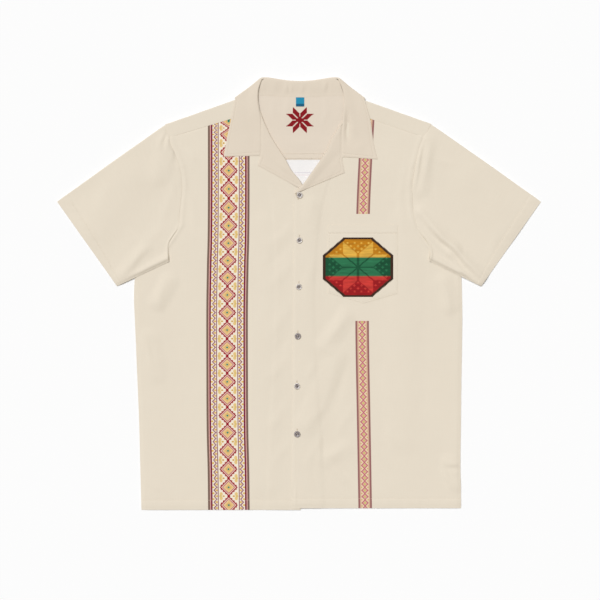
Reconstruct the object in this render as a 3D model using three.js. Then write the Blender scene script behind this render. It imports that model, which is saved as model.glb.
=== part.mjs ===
import * as THREE from "three";

// A short-sleeved camp shirt, buttoned and laid flat on its back, in millimetres.
// +X is to the right as seen from above, +Y runs from the hem to the collar, +Z is up.
// The origin is on the table under the middle of the shirt. The wearer's right is at -X.
// Every cut piece is a thin wall of cloth: a middle surface, thickened to both sides.

// Cloth and layers
const WALL = 1.0;
const AIR = 0.5;
const SEAM = 0.6;
const LAYER = WALL + AIR;
const TABLE = WALL / 2;

// Main sizes
const HEM_Y = -378.4;
const OVER_HEM_Y = -375.4;
const YOKE_SEAM_Y = 234;
const NECK_CENTRE_X = 1.5;
const CUFF_X = 423.5;
const CUFF_TOP_Y = 161;
const CUFF_FOOT = { x: 318.5, y: 13 };
const YOKE_RADIUS = 1.5;
const YOKE_NECK_X = 70;
const FACING_START = 0.04;
const FACING_CLEAR = 2.5;
const SLEEVE_RADIUS = 0.75;
const LAPEL_RADIUS = 1.5;
const LAPEL_CENTRE = LAPEL_RADIUS + WALL / 2;
const LAPEL_REACH = 28;
const ROLL_EDGE = 2.4;
const ROLL_DROOP = 1.4;
const ROLL_SPAN = 4;
const NECK_DROP = 1;

// Steps of the surfaces
const FOLD_STEPS = 6;
const FOLD_BLEND = 0.15;
const BODY_COLUMNS = 16;
const SIDE_ROWS = 10;
const SHOULDER_COLUMNS = 6;
const FACING_ROWS = 5;
const SLEEVE_COLUMNS = 9;
const LAPEL_COLUMNS = 6;
const STAND_COLUMNS = 3;

// Rows of the armhole, counted up from the armpit, where other seams and edges begin
const JUNCTION_ROW = 3;
const BREAK_ROW = 7;
const YOKE_SEAM_ROW = 11;
const LAPEL_TOP_ROW = 12;
const FORWARD_SEAM_ROW = 14;
const ARMHOLE_TOP = 15;

// The seam between yoke and collar at the back of the neck
const NECK_SEAM = [
  { x: -66.5, y: 347.4 }, { x: -54.5, y: 346.4 }, { x: -36.5, y: 345.2 }, { x: -17.5, y: 344.3 },
  { x: 1.5, y: 343.9 }, { x: 20.5, y: 344.3 }, { x: 39.5, y: 345.2 }, { x: 57.5, y: 346.4 },
  { x: 70, y: 347.4 },
];

// The edges of both sides, read up from the hem. x is the distance from the middle plane.
const SIDE = {
  right: {
    sign: -1,
    sideEdge: [
      { y: HEM_Y, x: 275.6 }, { y: -305, x: 277.6 }, { y: -221, x: 279.8 }, { y: -137, x: 283.3 },
      { y: -53, x: 286.8 }, { y: -8, x: 288.6 }, { y: 36, x: 287 },
    ],
    armhole: [
      { y: 36, x: 287 }, { y: 60, x: 256 }, { y: 80, x: 236 }, { y: 93.6, x: 225.8 },
      { y: 103.3, x: 219.5 }, { y: 118, x: 210.5 }, { y: 134, x: 209 }, { y: 157, x: 206.7 },
      { y: 180, x: 204.2 }, { y: 204, x: 205.5 }, { y: 223, x: 209 }, { y: 234, x: 213 },
      { y: 246, x: 217.2 }, { y: 262.5, x: 225 }, { y: 272.5, x: 229 }, { y: 284, x: 232.5 },
    ],
    shoulderTip: { x: 234.5, y: 295.8 },
    neckPoint: { x: 77, y: 351 },
    yokeFrontNeck: { x: 68.3, y: 321 },
    overhang: [{ x: 228, y: 76 }, { x: 226.6, y: 56 }],
    underarm: { x: 285, y: 34, toX: 229, toY: 78 },
    placket: { hemX: -9.5, breakX: -9.5, breakY: 187.5 },
    roll: [
      { y: 187.5, x: -2 }, { y: 193, x: -4.6 }, { y: 216, x: 13.3 }, { y: 236, x: 24 },
      { y: 254, x: 36.4 }, { y: 272, x: 49.4 }, { y: 295, x: 61.4 }, { y: 305, x: 64.9 },
      { y: 321, x: 68.3 },
    ],
    lapelEdge: [
      { x: 72.3, y: 224 }, { x: 69.8, y: 232 }, { x: 67.2, y: 240 }, { x: 66.3, y: 256 },
      { x: 66.2, y: 272 }, { x: 66.2, y: 287 },
    ],
  },
  left: {
    sign: 1,
    sideEdge: [
      { y: OVER_HEM_Y, x: 283.5 }, { y: -347, x: 283.2 }, { y: -305, x: 282.3 }, { y: -221, x: 283.3 },
      { y: -95, x: 284.9 }, { y: -32, x: 285.6 }, { y: 38, x: 284 },
    ],
    armhole: [
      { y: 38, x: 284 }, { y: 58, x: 256 }, { y: 78, x: 234 }, { y: 92, x: 223.5 },
      { y: 104.8, x: 213.9 }, { y: 118, x: 207 }, { y: 134, x: 201.5 }, { y: 157, x: 198.4 },
      { y: 180, x: 197.6 }, { y: 204, x: 199.5 }, { y: 223, x: 203.4 }, { y: 234, x: 206.5 },
      { y: 250, x: 210.8 }, { y: 262.5, x: 214.6 }, { y: 273.5, x: 219 }, { y: 285, x: 224.5 },
    ],
    shoulderTip: { x: 231, y: 297 },
    neckPoint: { x: 80, y: 350 },
    yokeFrontNeck: { x: 77, y: 322 },
    overhang: [{ x: 228.7, y: 76 }, { x: 227.5, y: 57 }],
    underarm: { x: 283, y: 35, toX: 228, toY: 78 },
    placket: { hemX: -11.4, breakX: -7, breakY: 176 },
    roll: [
      { y: 176, x: -7 }, { y: 193, x: 8.2 }, { y: 213, x: 22.6 }, { y: 234, x: 37.6 },
      { y: 248, x: 47.4 }, { y: 274, x: 58.6 }, { y: 281, x: 63.5 }, { y: 291.4, x: 70 },
      { y: 302, x: 76.6 }, { y: 322, x: 77 },
    ],
    lapelEdge: [
      { x: 79.6, y: 211 }, { x: 77.2, y: 226 }, { x: 75, y: 237.6 }, { x: 74.8, y: 254 },
      { x: 74.9, y: 270 }, { x: 75, y: 287 },
    ],
  },
};

// Heights that several stacked pieces share, in layers
const YOKE_RAMP = { from: 170, to: 226 };
const COLLAR_REST = { x: NECK_CENTRE_X, y: 375, halfWidth: 170, halfHeight: 56, fade: 1.9 };
const PLACKET_RAMP = { from: 12, to: 54 };
const UNDERARM_CORE = 16;
const UNDERARM_FADE = 46;

// Creases and soft swells: a ridge from one point to another, width to each side, height up
const CREASES = {
  front_right: [
    { x: -227, y: 22, toX: -247, toY: -14, width: 22, height: 2.6 },
    { x: -262, y: -78, toX: -250, toY: -140, width: 24, height: 1.6 },
    { x: -165, y: 150, toX: -150, toY: -260, width: 62, height: 1.6 },
    { x: -60, y: 120, toX: -60, toY: -330, width: 34, height: 1.1 },
  ],
  front_left: [
    { x: 80, y: -40, toX: 47, toY: -92, width: 24, height: 2.2 },
    { x: 66, y: -110, toX: 12, toY: -230, width: 26, height: 1.8 },
    { x: 79, y: -270, toX: 45, toY: -290, width: 22, height: 1.3 },
    { x: 22, y: 155, toX: 20, toY: 135, width: 20, height: 1.6 },
    { x: 262, y: -295, toX: 272, toY: -335, width: 20, height: 1.6 },
    { x: 184, y: 120, toX: 180, toY: -250, width: 40, height: 1.6 },
    { x: 252, y: 20, toX: 262, toY: -20, width: 22, height: 2.2 },
  ],
  sleeve_right: [
    { x: -271, y: 78, toX: -309, toY: 31, width: 20, height: 2.4 },
    { x: -300, y: 190, toX: -360, toY: 120, width: 52, height: 2.2 },
    { x: -236, y: 262, toX: -246, toY: 205, width: 24, height: 1.8 },
  ],
  sleeve_left: [
    { x: 212, y: 139, toX: 269, toY: 77, width: 20, height: 3.2 },
    { x: 269, y: 77, toX: 322, toY: 22, width: 20, height: 2.6 },
    { x: 222, y: 262, toX: 212, toY: 185, width: 22, height: 2.4 },
    { x: 300, y: 190, toX: 360, toY: 120, width: 52, height: 2.2 },
  ],
};

// Collar
const COLLAR = {
  rollRadius: 2.75,
  frontLift: 2.0,
  frontLiftReach: 28,
  fallColumns: 7,
  foldStations: 6,
  back: [
    { roll: 61, rollY: 378.4, seam: 68, seamY: 349.2, outer: 110, outerY: 338.9 },
    { roll: 52, rollY: 377.6, seam: 56, seamY: 347.2, outer: 92, outerY: 332.5 },
    { roll: 36, rollY: 375.0, seam: 38, seamY: 345.6, outer: 58, outerY: 328.6 },
    { roll: 18, rollY: 372.6, seam: 19, seamY: 344.6, outer: 28, outerY: 326.6 },
    { roll: 0, rollY: 371.8, seam: 0, seamY: 344.2, outer: 0, outerY: 326 },
  ],
  front: {
    right: [
      { x: 64.6, y: 374, outer: 111.6, outerY: 340.2, lift: 1 },
      { x: 70.4, y: 357, outer: 114.8, outerY: 326, lift: 1 },
      { x: 71.4, y: 338, outer: 118.3, outerY: 306, lift: 1 },
      { x: 69, y: 322, outer: 122.4, outerY: 288, lift: 1 },
      { x: 66.0, y: 305, outer: 125.4, outerY: 274, lift: 0.6 },
      { x: 66.6, y: 285, outer: 127.6, outerY: 262, lift: 0 },
      { x: 66.7, y: 262, outer: 129.8, outerY: 250, lift: 0 },
      { x: 67.4, y: 241, outer: 131.6, outerY: 239.4, lift: 0 },
    ],
    left: [
      { x: 68.6, y: 374, outer: 114.6, outerY: 339.4, lift: 1 },
      { x: 75.6, y: 357, outer: 118.6, outerY: 326, lift: 1 },
      { x: 78.8, y: 340, outer: 122.6, outerY: 312, lift: 1 },
      { x: 77.9, y: 322, outer: 125.6, outerY: 298, lift: 1 },
      { x: 76.4, y: 302, outer: 128.0, outerY: 280, lift: 0.6 },
      { x: 75.6, y: 282, outer: 130.6, outerY: 262, lift: 0 },
      { x: 75.4, y: 260, outer: 134.0, outerY: 248, lift: 0 },
      { x: 75.2, y: 238.6, outer: 137.4, outerY: 234.6, lift: 0 },
    ],
  },
};

// Pocket, label and buttons
const POCKET = { left: 50.8, right: 172.4, top: 119.5, side: 0.5, point: -17, pointX: 113 };
const POCKET_STEPS = 9;
const LABEL = { left: -5.3, right: 9.1, top: 342.6, bottom: 327 };
const LABEL_STEPS = 3;
const BUTTON = { radius: 5.6, thickness: 2.4, chamfer: 0.5, sides: 16, clear: 0.3 };
const BUTTON_HOLE = { radius: 0.55, spread: 1.25, sides: 5 };
const BUTTONS = [
  { x: 1.4, y: 171.8 }, { x: 0.7, y: 93 }, { x: -0.2, y: 11.7 },
  { x: -2.1, y: -74.7 }, { x: -3.5, y: -162 }, { x: -3.2, y: -245.9 },
];

// Finishes
const CREAM = { color: 0xe6dbc9, roughness: 0.85, metalness: 0 };
const WHITE = { color: 0xf3f0ef, roughness: 0.85, metalness: 0 };
const TEAL = { color: 0x1c7fa0, roughness: 0.7, metalness: 0 };
const PEARL = { color: 0x6f6768, roughness: 0.3, metalness: 0 };

// Numbers

function mix(a, b, t) {
  return a + (b - a) * t;
}

function smooth(from, to, value) {
  return THREE.MathUtils.smoothstep(value, from, to);
}

function lookup(table, y) {
  const last = table.length - 1;
  let row = 0;
  while (row < last - 1 && y > table[row + 1].y) {
    row += 1;
  }
  const low = table[row];
  const high = table[row + 1];
  const t = THREE.MathUtils.clamp((y - low.y) / (high.y - low.y), 0, 1);
  return mix(low.x, high.x, t);
}

// The distance from a point to a straight stretch
function distanceToLine(x, y, line) {
  const alongX = line.toX - line.x;
  const alongY = line.toY - line.y;
  const length2 = alongX * alongX + alongY * alongY;
  const t = THREE.MathUtils.clamp(((x - line.x) * alongX + (y - line.y) * alongY) / length2, 0, 1);
  return Math.hypot(x - line.x - alongX * t, y - line.y - alongY * t);
}

// A cloth is a middle surface: points, and triangles between them
class Cloth {
  constructor() {
    this.points = [];
    this.faces = [];
  }

  point(x, y, z) {
    this.points.push(new THREE.Vector3(x, y, z));
    return this.points.length - 1;
  }

  // Rows of points, all of one length, or indices of points that are there already
  grid(rows) {
    const indexOf = (p) => (typeof p === "number" ? p : this.point(p.x, p.y, p.z));
    const index = rows.map((row) => row.map(indexOf));
    for (let i = 0; i + 1 < index.length; i += 1) {
      for (let j = 0; j + 1 < index[i].length; j += 1) {
        const a = index[i][j];
        const b = index[i + 1][j];
        const c = index[i + 1][j + 1];
        const d = index[i][j + 1];
        this.faces.push([a, b, c], [a, c, d]);
      }
    }
    return index;
  }
}

// The closed wall of a cloth: both faces half a wall away from it, and a rim along its free edges
function thicken(cloth, wall = WALL) {
  const { points, faces } = cloth;
  const normals = points.map(() => new THREE.Vector3());
  const edges = new Map();
  for (const [a, b, c] of faces) {
    const ab = points[b].clone().sub(points[a]);
    const ac = points[c].clone().sub(points[a]);
    const area = ab.cross(ac);
    for (const corner of [a, b, c]) {
      normals[corner].add(area);
    }
    for (const [from, to] of [[a, b], [b, c], [c, a]]) {
      edges.set(`${from} ${to}`, [from, to]);
    }
  }
  const count = points.length;
  const place = new Float32Array(count * 6);
  points.forEach((p, i) => {
    const step = normals[i].normalize().multiplyScalar(wall / 2);
    place.set([p.x + step.x, p.y + step.y, p.z + step.z], i * 3);
    place.set([p.x - step.x, p.y - step.y, p.z - step.z], (count + i) * 3);
  });
  const index = [];
  for (const [a, b, c] of faces) {
    index.push(a, b, c, count + c, count + b, count + a);
  }
  for (const [from, to] of edges.values()) {
    if (!edges.has(`${to} ${from}`)) {
      index.push(to, from, count + from, to, count + from, count + to);
    }
  }
  const geometry = new THREE.BufferGeometry();
  geometry.setAttribute("position", new THREE.BufferAttribute(place, 3));
  geometry.setIndex(index);
  return geometry;
}

function piece(name, geometry, finish) {
  const mesh = new THREE.Mesh(geometry, new THREE.MeshStandardMaterial(finish));
  mesh.name = name;
  return mesh;
}

// Heights of the middle surfaces

function creaseHeight(name, x, y) {
  let height = 0;
  for (const crease of CREASES[name] ?? []) {
    const reach = distanceToLine(x, y, crease) / crease.width;
    if (reach < 1) {
      height += crease.height * (1 - reach * reach) ** 2;
    }
  }
  return height;
}

// One layer higher all over the part of the collar that is turned under the yoke
function collarRise(x, y) {
  const across = (x - COLLAR_REST.x) / COLLAR_REST.halfWidth;
  const up = (y - COLLAR_REST.y) / COLLAR_REST.halfHeight;
  return 1 - smooth(1, COLLAR_REST.fade, Math.hypot(across, up));
}

function backHeight(x, y) {
  return TABLE + LAYER * collarRise(x, y);
}

function facingHeight(x, y) {
  return backHeight(x, y) + LAYER;
}

// The fronts pass over the inner yoke, so they are one layer higher there
function upperHeight(x, y) {
  return facingHeight(x, y) + LAYER * smooth(YOKE_RAMP.from, YOKE_RAMP.to, y);
}

function frontHeight(side, x, y) {
  const name = `front_${side}`;
  const lap = side === "left" ? 1 - smooth(PLACKET_RAMP.from, PLACKET_RAMP.to, x) : 0;
  return upperHeight(x, y) + LAYER * lap + creaseHeight(name, x, y);
}

// Edges

function armholePoint(side, row) {
  const { sign, armhole } = SIDE[side];
  return { x: sign * armhole[row].x, y: armhole[row].y };
}

function rollPoint(side, y) {
  const { sign, roll } = SIDE[side];
  return { x: sign * lookup(roll, y), y };
}

// Across the roll line, into the cloth
function rollInward(side, y) {
  const below = rollPoint(side, y - ROLL_SPAN);
  const above = rollPoint(side, y + ROLL_SPAN);
  const along = Math.hypot(above.x - below.x, above.y - below.y);
  const sign = SIDE[side].sign;
  return { x: (sign * (above.y - below.y)) / along, y: (-sign * (above.x - below.x)) / along };
}

// The height on the front edge that belongs to a row of the armhole
function centreY(side, row) {
  const { armhole, placket, yokeFrontNeck } = SIDE[side];
  const y = armhole[row].y;
  if (row <= BREAK_ROW) {
    const t = (y - armhole[0].y) / (armhole[BREAK_ROW].y - armhole[0].y);
    return mix(armhole[0].y, placket.breakY, t);
  }
  const span = armhole[FORWARD_SEAM_ROW].y - armhole[BREAK_ROW].y;
  return mix(placket.breakY, yokeFrontNeck.y - NECK_DROP, (y - armhole[BREAK_ROW].y) / span);
}

function placketPoint(side, y) {
  const { sign, placket, sideEdge } = SIDE[side];
  const t = (y - sideEdge[0].y) / (placket.breakY - sideEdge[0].y);
  return { x: sign * mix(placket.hemX, placket.breakX, t), y };
}

// The front's own edge: straight below the break, set back from the roll line above it
function frontEdgePoint(side, row) {
  const y = centreY(side, row);
  if (row < BREAK_ROW) {
    return placketPoint(side, y);
  }
  const roll = rollPoint(side, y);
  const inward = rollInward(side, y);
  const back = LAPEL_CENTRE + SEAM;
  return { x: roll.x + inward.x * back, y: roll.y + inward.y * back };
}

function sidePoint(side, t) {
  const { sign, sideEdge } = SIDE[side];
  const y = mix(sideEdge[0].y, sideEdge[sideEdge.length - 1].y, t);
  return { x: sign * lookup(sideEdge, y), y };
}

// The outward direction across a shoulder, and its folded edge at a share of its length from the tip
function shoulderNormal(side) {
  const { sign, shoulderTip, neckPoint } = SIDE[side];
  const alongX = neckPoint.x - shoulderTip.x;
  const alongY = neckPoint.y - shoulderTip.y;
  const length = Math.hypot(alongX, alongY);
  return { x: (sign * alongY) / length, y: -alongX / length };
}

function shoulderFold(side, t, inset) {
  const { sign, shoulderTip, neckPoint } = SIDE[side];
  const normal = shoulderNormal(side);
  return {
    x: sign * mix(shoulderTip.x, neckPoint.x, t) - normal.x * inset,
    y: mix(shoulderTip.y, neckPoint.y, t) - normal.y * inset,
  };
}

// Rows of points

function straightRow(from, to, columns, height) {
  const row = [];
  for (let j = 0; j <= columns; j += 1) {
    const x = mix(from.x, to.x, j / columns);
    const y = mix(from.y, to.y, j / columns);
    row.push({ x, y, z: height(x, y) });
  }
  return row;
}

// A half turn of cloth from one level to the other, without its two end points
function halfTurn(centre, outward, fromZ, toZ, steps) {
  const points = [];
  const radius = (toZ - fromZ) / 2;
  const reach = Math.abs(radius);
  for (let k = 1; k < steps; k += 1) {
    const angle = Math.PI * (k / steps - 0.5);
    points.push({
      x: centre.x + outward.x * reach * Math.cos(angle),
      y: centre.y + outward.y * reach * Math.cos(angle),
      z: (fromZ + toZ) / 2 + radius * Math.sin(angle),
    });
  }
  return points;
}

// Body

function makeFront(side) {
  const cloth = new Cloth();
  const rows = [];
  const height = (x, y) => frontHeight(side, x, y);
  const { sideEdge, armhole } = SIDE[side];
  for (let i = 0; i < SIDE_ROWS; i += 1) {
    const t = i / SIDE_ROWS;
    const to = placketPoint(side, mix(sideEdge[0].y, armhole[0].y, t));
    rows.push(straightRow(sidePoint(side, t), to, BODY_COLUMNS, height));
  }
  for (let row = 0; row <= FORWARD_SEAM_ROW; row += 1) {
    rows.push(straightRow(armholePoint(side, row), frontEdgePoint(side, row), BODY_COLUMNS, height));
  }
  cloth.grid(rows);
  return piece(`front_${side}`, thicken(cloth), CREAM);
}

function makeBack() {
  const cloth = new Cloth();
  const rows = [];
  for (let i = 0; i < SIDE_ROWS; i += 1) {
    const t = i / SIDE_ROWS;
    rows.push(straightRow(sidePoint("right", t), sidePoint("left", t), BODY_COLUMNS, backHeight));
  }
  for (let row = 0; row <= YOKE_SEAM_ROW; row += 1) {
    rows.push(straightRow(armholePoint("right", row), armholePoint("left", row), BODY_COLUMNS, backHeight));
  }
  for (const point of rows[rows.length - 1]) {
    point.y -= SEAM;
  }
  cloth.grid(rows);
  return piece("back_panel", thicken(cloth), WHITE);
}

// Yoke

// A column of the yoke's shoulder: up the back, round the shoulder and down to the forward seam
function shoulderColumn(side, t) {
  const { sign, armhole, yokeFrontNeck } = SIDE[side];
  const column = [];
  const backRows = ARMHOLE_TOP + 1 - YOKE_SEAM_ROW;
  const fold = shoulderFold(side, t, YOKE_RADIUS + WALL / 2);
  const seamX = sign * mix(armhole[YOKE_SEAM_ROW].x, YOKE_NECK_X, t);
  for (let row = 0; row < backRows; row += 1) {
    const point = armholePoint(side, YOKE_SEAM_ROW + row);
    const x = t === 0 ? point.x : mix(seamX, fold.x, row / backRows);
    const y = t === 0 ? point.y : mix(YOKE_SEAM_Y, fold.y, row / backRows);
    column.push({ x, y, z: backHeight(x, y) });
  }
  const low = backHeight(fold.x, fold.y);
  const high = upperHeight(fold.x, fold.y);
  column.push({ ...fold, z: low });
  column.push(...halfTurn(fold, shoulderNormal(side), low, high, FOLD_STEPS));
  column.push({ ...fold, z: high });
  const seamFoot = {
    x: sign * mix(armhole[FORWARD_SEAM_ROW].x, yokeFrontNeck.x + LAPEL_CENTRE, t),
    y: mix(armhole[FORWARD_SEAM_ROW].y, yokeFrontNeck.y - NECK_DROP, t) + SEAM,
  };
  const halfway = { x: (fold.x + seamFoot.x) / 2, y: (fold.y + seamFoot.y) / 2 };
  const middle = t === 0 ? armholePoint(side, ARMHOLE_TOP) : halfway;
  for (const point of [middle, seamFoot]) {
    column.push({ ...point, z: upperHeight(point.x, point.y) });
  }
  return column;
}

function makeYoke() {
  const cloth = new Cloth();
  const backRows = ARMHOLE_TOP + 1 - YOKE_SEAM_ROW;
  const neckEnds = {};
  for (const side of ["right", "left"]) {
    const columns = [];
    for (let c = 0; c <= SHOULDER_COLUMNS; c += 1) {
      columns.push(shoulderColumn(side, c / SHOULDER_COLUMNS));
    }
    const index = cloth.grid(side === "right" ? columns : columns.reverse());
    neckEnds[side] = side === "right" ? index[index.length - 1] : index[0];
  }
  const neck = NECK_SEAM.map((row) => straightRow({ x: row.x, y: YOKE_SEAM_Y }, row, backRows, backHeight));
  cloth.grid([
    neckEnds.right.slice(0, backRows + 1),
    ...neck,
    neckEnds.left.slice(0, backRows + 1),
  ]);
  return piece("back_yoke", thicken(cloth), CREAM);
}

// The inner yoke stops short of the armholes and of the shoulder folds, where nothing of it shows
function makeFacing() {
  const cloth = new Cloth();
  const columns = [];
  const inset = YOKE_RADIUS + WALL + FACING_CLEAR;
  const sideColumn = (side, t) => {
    const { sign, armhole } = SIDE[side];
    const top = shoulderFold(side, t, inset);
    const footX = sign * mix(armhole[YOKE_SEAM_ROW].x, YOKE_NECK_X, t);
    return { top, foot: { x: footX, y: YOKE_SEAM_Y } };
  };
  for (let c = 0; c <= SHOULDER_COLUMNS; c += 1) {
    columns.push(sideColumn("right", mix(FACING_START, 1, c / SHOULDER_COLUMNS)));
  }
  for (const row of NECK_SEAM) {
    columns.push({ top: row, foot: { x: row.x, y: YOKE_SEAM_Y } });
  }
  for (let c = SHOULDER_COLUMNS; c >= 0; c -= 1) {
    columns.push(sideColumn("left", mix(FACING_START, 1, c / SHOULDER_COLUMNS)));
  }
  cloth.grid(columns.map(({ top, foot }) => straightRow(foot, top, FACING_ROWS, facingHeight)));
  return piece("yoke_facing", thicken(cloth), CREAM);
}

// Sleeves

// One layer higher where the sleeve passes over the front's underarm corner
function sleeveHeight(side, x, y) {
  const { sign, underarm } = SIDE[side];
  const reach = distanceToLine(sign * x, y, underarm) - UNDERARM_CORE;
  const over = 1 - smooth(0, UNDERARM_FADE, reach);
  const shoulder = smooth(YOKE_RAMP.from, YOKE_RAMP.to, y);
  return TABLE + LAYER * (1 + shoulder + over) + creaseHeight(`sleeve_${side}`, x, y);
}

function makeSleeve(side) {
  const cloth = new Cloth();
  const { sign, armhole, overhang, shoulderTip } = SIDE[side];
  const shoulder = shoulderNormal(side);
  const tip = shoulderFold(side, 0, YOKE_RADIUS + WALL / 2);
  const drop = shoulderTip.y - CUFF_TOP_Y;
  const run = CUFF_X - shoulderTip.x;
  const top = { x: (sign * drop) / Math.hypot(run, drop), y: run / Math.hypot(run, drop) };
  const cuffInset = SLEEVE_RADIUS + WALL / 2;
  const cuffTop = { x: sign * CUFF_X - top.x * cuffInset, y: CUFF_TOP_Y - top.y * cuffInset };
  const foot = { x: sign * CUFF_FOOT.x, y: CUFF_FOOT.y };
  const step = sign * SEAM;
  const lowerCap = armhole.map((row) => ({ x: sign * row.x + step, y: row.y }));
  lowerCap.push({ x: tip.x + step, y: tip.y });
  const upperCap = [...overhang].reverse().map((row) => ({ x: sign * row.x, y: row.y }));
  upperCap.push(...lowerCap.slice(JUNCTION_ROW));
  const toCuff = (cap, w) => {
    const first = cap[0].y;
    const last = cap[cap.length - 1].y;
    return cap.map((point) => {
      const t = (point.y - first) / (last - first);
      const cuff = { x: mix(foot.x, cuffTop.x, t), y: mix(foot.y, cuffTop.y, t) };
      return { x: mix(point.x, cuff.x, w), y: mix(point.y, cuff.y, w) };
    });
  };
  const sections = [];
  for (let c = 0; c <= SLEEVE_COLUMNS; c += 1) {
    const w = c / SLEEVE_COLUMNS;
    const lower = toCuff(lowerCap, w).map((p) => ({ ...p, z: TABLE }));
    const upper = toCuff(upperCap, w).map((p) => ({ ...p, z: sleeveHeight(side, p.x, p.y) })).reverse();
    const turn = smooth(0, FOLD_BLEND, w);
    const outward = { x: mix(shoulder.x, top.x, turn), y: mix(shoulder.y, top.y, turn) };
    const fold = halfTurn(lower[lower.length - 1], outward, TABLE, upper[0].z, FOLD_STEPS);
    sections.push([...lower, ...fold, ...upper]);
  }
  cloth.grid(sections);
  return piece(`sleeve_${side}`, thicken(cloth), CREAM);
}

// Lapels: from the front's edge round the roll line, and flat over the front

function makeLapel(side) {
  const cloth = new Cloth();
  const rows = [];
  for (let row = BREAK_ROW; row <= LAPEL_TOP_ROW; row += 1) {
    const y = centreY(side, row);
    const roll = rollPoint(side, y);
    const inward = rollInward(side, y);
    const start = { x: roll.x + inward.x * LAPEL_CENTRE, y: roll.y + inward.y * LAPEL_CENTRE };
    const edge = SIDE[side].lapelEdge[row - BREAK_ROW];
    const end = { x: SIDE[side].sign * edge.x, y: edge.y };
    const level = frontHeight(side, start.x, start.y);
    const outward = { x: -inward.x, y: -inward.y };
    const points = [{ ...start, z: level }];
    points.push(...halfTurn(start, outward, level, level + 2 * LAPEL_RADIUS, FOLD_STEPS));
    for (let j = 0; j <= LAPEL_COLUMNS; j += 1) {
      const out = { x: mix(start.x, end.x, j / LAPEL_COLUMNS), y: mix(start.y, end.y, j / LAPEL_COLUMNS) };
      const reach = Math.hypot(out.x - start.x, out.y - start.y);
      const lift = (2 * LAPEL_RADIUS - LAYER) * (1 - smooth(0, LAPEL_REACH, reach));
      points.push({ ...out, z: frontHeight(side, out.x, out.y) + LAYER + lift });
    }
    points[FOLD_STEPS].z = level + 2 * LAPEL_RADIUS;
    rows.push(points);
  }
  cloth.grid(rows);
  return piece(`lapel_${side}`, thicken(cloth), CREAM);
}

// Collar

// The fall as it lies on the front, from the roll line or the gorge seam to its outer edge
function frontFallRow(side, row) {
  const { sign } = SIDE[side];
  const points = [];
  const length = Math.hypot(row.outer - row.x, row.outerY - row.y);
  const second = row.lift > 0 ? ROLL_EDGE : length / COLLAR.fallColumns;
  for (let j = 0; j <= COLLAR.fallColumns; j += 1) {
    const spread = mix(second, length, (j - 1) / (COLLAR.fallColumns - 1));
    const reach = j === 0 ? (WALL / 2) * Math.sign(row.lift) : spread;
    const x = sign * mix(row.x, row.outer, reach / length);
    const y = mix(row.y, row.outerY, reach / length);
    const lift = COLLAR.frontLift * row.lift * (1 - smooth(0, COLLAR.frontLiftReach, reach));
    const droop = j === 0 ? ROLL_DROOP * row.lift : 0;
    points.push({ x, y, z: frontHeight(side, x, y) + LAYER + lift - droop });
  }
  return points;
}

// A section of the collar at the back of the neck: seam, stand, roll and the fall under the yoke
function backCollarSection(side, row) {
  const { sign } = SIDE[side];
  const place = (out, y) => ({ x: NECK_CENTRE_X + sign * out, y });
  const seam = place(row.seam, row.seamY + SEAM);
  const roll = place(row.roll, row.rollY);
  const outer = place(row.outer, row.outerY);
  const length = Math.hypot(roll.x - seam.x, roll.y - seam.y);
  const up = { x: (roll.x - seam.x) / length, y: (roll.y - seam.y) / length };
  const back = COLLAR.rollRadius + WALL / 2;
  const centre = { x: roll.x - up.x * back, y: roll.y - up.y * back };
  const top = TABLE + 2 * COLLAR.rollRadius;
  const stand = [];
  for (let j = STAND_COLUMNS; j > 0; j -= 1) {
    const t = j / STAND_COLUMNS;
    const x = mix(centre.x, seam.x, t);
    const y = mix(centre.y, seam.y, t);
    stand.push({ x, y, z: mix(top, facingHeight(x, y), smooth(0, 1, t)) });
  }
  stand.reverse();
  stand.push({ ...centre, z: top });
  const turn = halfTurn(centre, up, top, TABLE, FOLD_STEPS);
  const fall = straightRow(centre, outer, COLLAR.fallColumns, () => TABLE);
  return { stand: [...stand, ...turn], fall };
}

// The fall turns over the shoulder from under the yoke to the front
function shoulderTurnRows(low, high) {
  const rows = [];
  const along = Math.hypot(low[low.length - 1].x - low[0].x, low[low.length - 1].y - low[0].y);
  const side = Math.sign(low[low.length - 1].x - low[0].x);
  const outward = {
    x: (side * (low[0].y - low[low.length - 1].y)) / along,
    y: Math.abs(low[low.length - 1].x - low[0].x) / along,
  };
  for (let k = 1; k < COLLAR.foldStations; k += 1) {
    const angle = Math.PI * (k / COLLAR.foldStations - 0.5);
    const share = (1 + Math.sin(angle)) / 2;
    rows.push(low.map((from, j) => {
      const to = high[j];
      const reach = ((to.z - from.z) / 2) * Math.cos(angle);
      return {
        x: mix(from.x, to.x, share) + outward.x * reach,
        y: mix(from.y, to.y, share) + outward.y * reach,
        z: mix(from.z, to.z, share),
      };
    }));
  }
  return rows;
}

function makeCollar() {
  const cloth = new Cloth();
  const sections = [
    ...COLLAR.back.map((row) => backCollarSection("right", row)),
    ...COLLAR.back.slice(0, -1).reverse().map((row) => backCollarSection("left", row)),
  ];
  const front = (side) => COLLAR.front[side].map((row) => frontFallRow(side, row));
  const right = front("right");
  const left = front("left");
  const first = sections[0].fall;
  const last = sections[sections.length - 1].fall;
  const fallRows = [
    ...[...right].reverse(),
    ...shoulderTurnRows(first, right[0]).reverse(),
    ...sections.map((section) => section.fall),
    ...shoulderTurnRows(last, left[0]),
    ...left,
  ];
  const index = cloth.grid(fallRows);
  const start = right.length + COLLAR.foldStations - 1;
  cloth.grid(sections.map((section, i) => [...section.stand, index[start + i][0]]));
  return piece("collar", thicken(cloth), CREAM);
}

// What lies on the panels

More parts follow.
